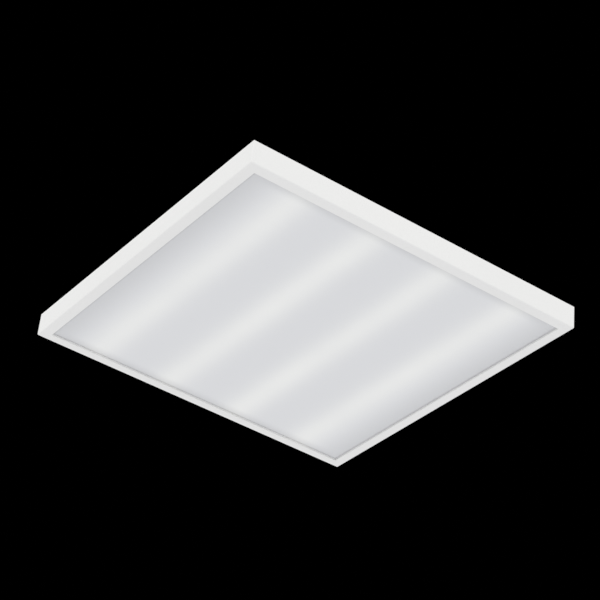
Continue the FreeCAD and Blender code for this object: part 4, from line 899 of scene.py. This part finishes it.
def pressed_plate(sizes):
    """The back plate with the walls of its ribs drawn over, as a press leaves them."""
    piece = own_copy("back_plate")
    sheet_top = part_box("frame_shell")[1].z + SHEET_STEEL
    rib_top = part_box("back_plate")[1].z
    top_round = sizes.rib_round
    foot_round = rib_top - sheet_top - top_round

    def level(edge, height):
        return all(abs(piece.data.vertices[v].co.z - height) < WELD_DISTANCE for v in edge.vertices)

    def on_rib(edge):
        return any(all(abs(piece.data.vertices[v].co[axis] - centre[axis]) < half[axis] + WELD_DISTANCE
                       for v in edge.vertices for axis in (0, 1)) for centre, half in RIBS)

    choose(piece, "EDGE", lambda edge: level(edge, rib_top) or level(edge, rib_top - SHEET_STEEL))
    bpy.ops.mesh.bevel(offset=top_round, segments=4)
    leave_edit()
    choose(piece, "EDGE", lambda edge: level(edge, sheet_top) and on_rib(edge))
    bpy.ops.mesh.bevel(offset=foot_round * FOOT_SHARE, segments=3)
    leave_edit()
    dress(piece, slot_of("back_plate"), HOUSING, ["back_plate"])


# ---- grommets ----

# The axis of each grommet's hole, its bore and neck radius and the number of sheets that it sits in.
GROMMETS = {"cable_grommet": {"axis": 0, "bore": 0.0045, "neck": 0.007, "sheets": 1},
            "plate_grommet": {"axis": 2, "bore": 0.0034, "neck": 0.005, "sheets": 2}}
LIP_SHARE = 0.35
SPIN_STEPS = 48


def soft_ring(node, axis, bore, neck, sheets):
    """A rubber ring turned from a half section, with a groove for the sheets that it sits in."""
    low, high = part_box(node)
    half = (high[axis] - low[axis]) / 2
    rim = (high[(axis + 1) % 3] - low[(axis + 1) % 3]) / 2
    groove = sheets * SHEET_STEEL / 2
    lip = half * LIP_SHARE
    upper = [(neck, groove), (rim - lip / 3, groove), (rim, groove + lip / 3), (rim, half - lip),
             (rim - lip, half), (bore + lip, half), (bore, half - lip)]
    outline = [(radius, -height) for radius, height in reversed(upper)] + upper
    count = len(outline)
    name = f"{node}_dressed"
    mesh = bpy.data.meshes.new(name)
    points = [(radius, 0, height) for radius, height in outline]
    mesh.from_pydata(points, [(number, (number + 1) % count) for number in range(count)], [])
    ring = bpy.data.objects.new(name, mesh)
    bpy.context.collection.objects.link(ring)
    take(ring)
    bpy.ops.object.mode_set(mode="EDIT")
    bpy.ops.mesh.select_all(action="SELECT")
    bpy.ops.mesh.spin(steps=SPIN_STEPS, angle=math.tau, center=(0, 0, 0), axis=(0, 0, 1))
    bpy.ops.mesh.select_all(action="SELECT")
    bpy.ops.mesh.remove_doubles(threshold=WELD_DISTANCE)
    bpy.ops.mesh.normals_make_consistent(inside=False)
    leave_edit()
    turn = Matrix.Rotation(math.pi / 2, 4, "Y") if axis == 0 else Matrix.Identity(4)
    ring.matrix_world = Matrix.Translation((low + high) / 2) @ turn
    dress(settle(ring), "grommet_rubber", HOUSING, [node])


# ---- operators ----

class TROFFER_OT_finishes(bpy.types.Operator):
    """Give every CAD piece the finish of its material slot"""
    bl_idname = "troffer.finishes"
    bl_label = "Finishes"

    def execute(self, context):
        make_finishes(context.scene.troffer_colours)
        for row in frame["record"]["subparts"]:
            node = frame["nodes"][row["node"]]
            for slot in node.material_slots:
                slot.material = finish_of(row["material_slot"])
        return {"FINISHED"}


class TROFFER_OT_screws(bpy.types.Operator):
    """Model the screws with domed heads and cross slots"""
    bl_idname = "troffer.screws"
    bl_label = "Screws"

    def execute(self, context):
        sizes = context.scene.troffer_sizes
        for node in ("back_screws", "driver_screws", "cord_grip_screws", "earth_screw"):
            screws_for(node, SCREW_HEAD, SCREW_RADIUS, sizes)
        screws_for("lid_screw", LID_SCREW_HEAD, LID_SCREW_RADIUS, sizes, "lid")
        return {"FINISHED"}


class TROFFER_OT_rivets(bpy.types.Operator):
    """Model the rivets with domed heads and dimples"""
    bl_idname = "troffer.rivets"
    bl_label = "Rivets"

    def execute(self, context):
        sizes = context.scene.troffer_sizes
        rivets_for("gear_rivets", sizes)
        rivets_for("bracket_rivets", sizes)
        clip_pivots(sizes)
        return {"FINISHED"}


class TROFFER_OT_mouldings(bpy.types.Operator):
    """Round the edges of the moulded pieces"""
    bl_idname = "troffer.mouldings"
    bl_label = "Moulded Pieces"

    def execute(self, context):
        width = context.scene.troffer_sizes.edge_round
        for node in ("driver_base", "driver_cover", "driver_terminals", "terminal_block", "cord_grip_base",
                     "cord_grip_bar", "board_connectors", "wire_saddles"):
            soften(node, width)
        for pole in ("live", "neutral", "earth"):
            soften(f"{pole}_button", width, f"{pole}_button")
        return {"FINISHED"}


class TROFFER_OT_folded(bpy.types.Operator):
    """Round the edges of the folded steel on the back"""
    bl_idname = "troffer.folded"
    bl_label = "Folded Steel"

    def execute(self, context):
        sizes = context.scene.troffer_sizes
        width = sizes.fold_round
        pressed_plate(sizes)
        soften("gear_box", width)
        soften("gear_box_ends", width)
        soften("gear_lid", width, "lid")
        soften("suspension_brackets", 2 * width)
        for number in range(1, GRID_CLIPS + 1):
            soften(f"grid_clip_{number}", 1.5 * width, f"grid_clip_{number}")
        return {"FINISHED"}


class TROFFER_OT_driver(bpy.types.Operator):
    """Model the parts on the driver's circuit board"""
    bl_idname = "troffer.driver"
    bl_label = "Driver Parts"

    def execute(self, context):
        capacitors()
        chokes(context.scene.troffer_sizes)
        transformer()
        circuit_parts()
        return {"FINISHED"}


class TROFFER_OT_grommets(bpy.types.Operator):
    """Turn the rubber grommets"""
    bl_idname = "troffer.grommets"
    bl_label = "Grommets"

    def execute(self, context):
        for node, form in GROMMETS.items():
            soft_ring(node, **form)
        return {"FINISHED"}


# ---- stage ----

# The photograph's viewpoint, fitted to the body's corners. Angles are degrees.
CAMERA_PLACE = (2.150, -1.378, -1.663)
CAMERA_AZIMUTH = 57.43
CAMERA_ELEVATION = -34.0
CAMERA_ROLL = 6.17
FOCAL_PIXELS = 1975.5
FRAME_PIXELS = 600.0
SENSOR_WIDTH = 36.0
FLOOR_DEPTH = -2.1
FLOOR_SIZE = 60.0
WORLD_LIGHT = 0.84
SUN_LIGHT = 0.42
SUN_ELEVATION = 35.0
SUN_AZIMUTH = 45.0
SUN_WIDTH = 25.0


class TROFFER_OT_stage(bpy.types.Operator):
    """Set the floor, the light and the camera"""
    bl_idname = "troffer.stage"
    bl_label = "Stage"

    def execute(self, context):
        clear_selection()
        bpy.ops.mesh.primitive_plane_add(size=FLOOR_SIZE, location=(0, 0, FLOOR_DEPTH))
        floor = context.object
        floor.name = "floor"
        floor_finish(context.scene.troffer_colours.floor)
        floor.data.materials.append(finish_of("floor"))
        self.light_world(context)
        self.add_sun(context)
        self.add_camera(context)
        return {"FINISHED"}

    def light_world(self, context):
        """Even white light from all round, black where the camera looks past the object."""
        world = bpy.data.worlds.new("studio")
        context.scene.world = world
        world.use_nodes = True
        nodes, links = world.node_tree.nodes, world.node_tree.links
        nodes.clear()
        output = nodes.new("ShaderNodeOutputWorld")
        mix = nodes.new("ShaderNodeMixShader")
        light = nodes.new("ShaderNodeBackground")
        light.inputs["Color"].default_value = (1.0, 1.0, 1.0, 1.0)
        light.inputs["Strength"].default_value = WORLD_LIGHT
        dark = nodes.new("ShaderNodeBackground")
        dark.inputs["Color"].default_value = (0.0, 0.0, 0.0, 1.0)
        path = nodes.new("ShaderNodeLightPath")
        links.new(path.outputs["Is Camera Ray"], mix.inputs["Fac"])
        links.new(light.outputs["Background"], mix.inputs[1])
        links.new(dark.outputs["Background"], mix.inputs[2])
        links.new(mix.outputs["Shader"], output.inputs["Surface"])

    def add_sun(self, context):
        """A weak, soft lamp from the camera's side, above the light, that parts the faces."""
        data = bpy.data.lights.new("soft_lamp", "SUN")
        data.energy = SUN_LIGHT
        data.angle = math.radians(SUN_WIDTH)
        lamp = bpy.data.objects.new("soft_lamp", data)
        lamp.rotation_euler = (math.radians(90 - SUN_ELEVATION), 0, math.radians(SUN_AZIMUTH))
        lamp.visible_glossy = False
        context.collection.objects.link(lamp)

    def add_camera(self, context):
        """The photograph's viewpoint, below the light and looking up."""
        azimuth = math.radians(CAMERA_AZIMUTH)
        elevation = math.radians(CAMERA_ELEVATION)
        roll = math.radians(CAMERA_ROLL)
        level = math.cos(elevation)
        back = Vector((math.sin(azimuth) * level, -math.cos(azimuth) * level, math.sin(elevation)))
        right = Vector((math.cos(azimuth), math.sin(azimuth), 0))
        up = back.cross(right)
        tilted_right = right * math.cos(roll) + up * math.sin(roll)
        tilted_up = up * math.cos(roll) - right * math.sin(roll)
        data = bpy.data.cameras.new("camera")
        data.sensor_width = SENSOR_WIDTH
        data.lens = FOCAL_PIXELS / FRAME_PIXELS * data.sensor_width
        data.clip_end = 100.0
        camera = bpy.data.objects.new("camera", data)
        context.collection.objects.link(camera)
        turn = Matrix((tilted_right, tilted_up, back)).transposed().to_4x4()
        camera.matrix_world = Matrix.Translation(CAMERA_PLACE) @ turn
        context.scene.camera = camera


class TROFFER_PT_panel(bpy.types.Panel):
    """Lists the steps that dress the light"""
    bl_idname = "TROFFER_PT_panel"
    bl_label = "Troffer Light"
    bl_space_type = "VIEW_3D"
    bl_region_type = "UI"
    bl_category = "Troffer"

    def draw(self, context):
        for group in (context.scene.troffer_sizes, context.scene.troffer_colours):
            for name in group.__annotations__:
                self.layout.prop(group, name)
        for step in STEPS:
            self.layout.operator(step.bl_idname)


STEPS = [TROFFER_OT_finishes, TROFFER_OT_screws, TROFFER_OT_rivets, TROFFER_OT_mouldings, TROFFER_OT_folded,
         TROFFER_OT_driver, TROFFER_OT_grommets, TROFFER_OT_stage]
CLASSES = [TrofferSizes, TrofferColours, *STEPS, TROFFER_PT_panel]


def register():
    """Register the classes and the scene's properties."""
    for item in CLASSES:
        bpy.utils.register_class(item)
    bpy.types.Scene.troffer_sizes = PointerProperty(type=TrofferSizes)
    bpy.types.Scene.troffer_colours = PointerProperty(type=TrofferColours)


def unregister():
    """Remove what register added."""
    del bpy.types.Scene.troffer_colours
    del bpy.types.Scene.troffer_sizes
    for item in reversed(CLASSES):
        bpy.utils.unregister_class(item)


def main():
    """Dress the light and set the stage."""
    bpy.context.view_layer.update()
    register()
    bpy.context.scene.view_settings.view_transform = "Standard"
    bpy.ops.troffer.finishes()
    bpy.ops.troffer.screws()
    bpy.ops.troffer.rivets()
    bpy.ops.troffer.mouldings()
    bpy.ops.troffer.folded()
    bpy.ops.troffer.driver()
    bpy.ops.troffer.grommets()
    bpy.ops.troffer.stage()
    clear_selection()


if __name__ == "__main__":
    main()
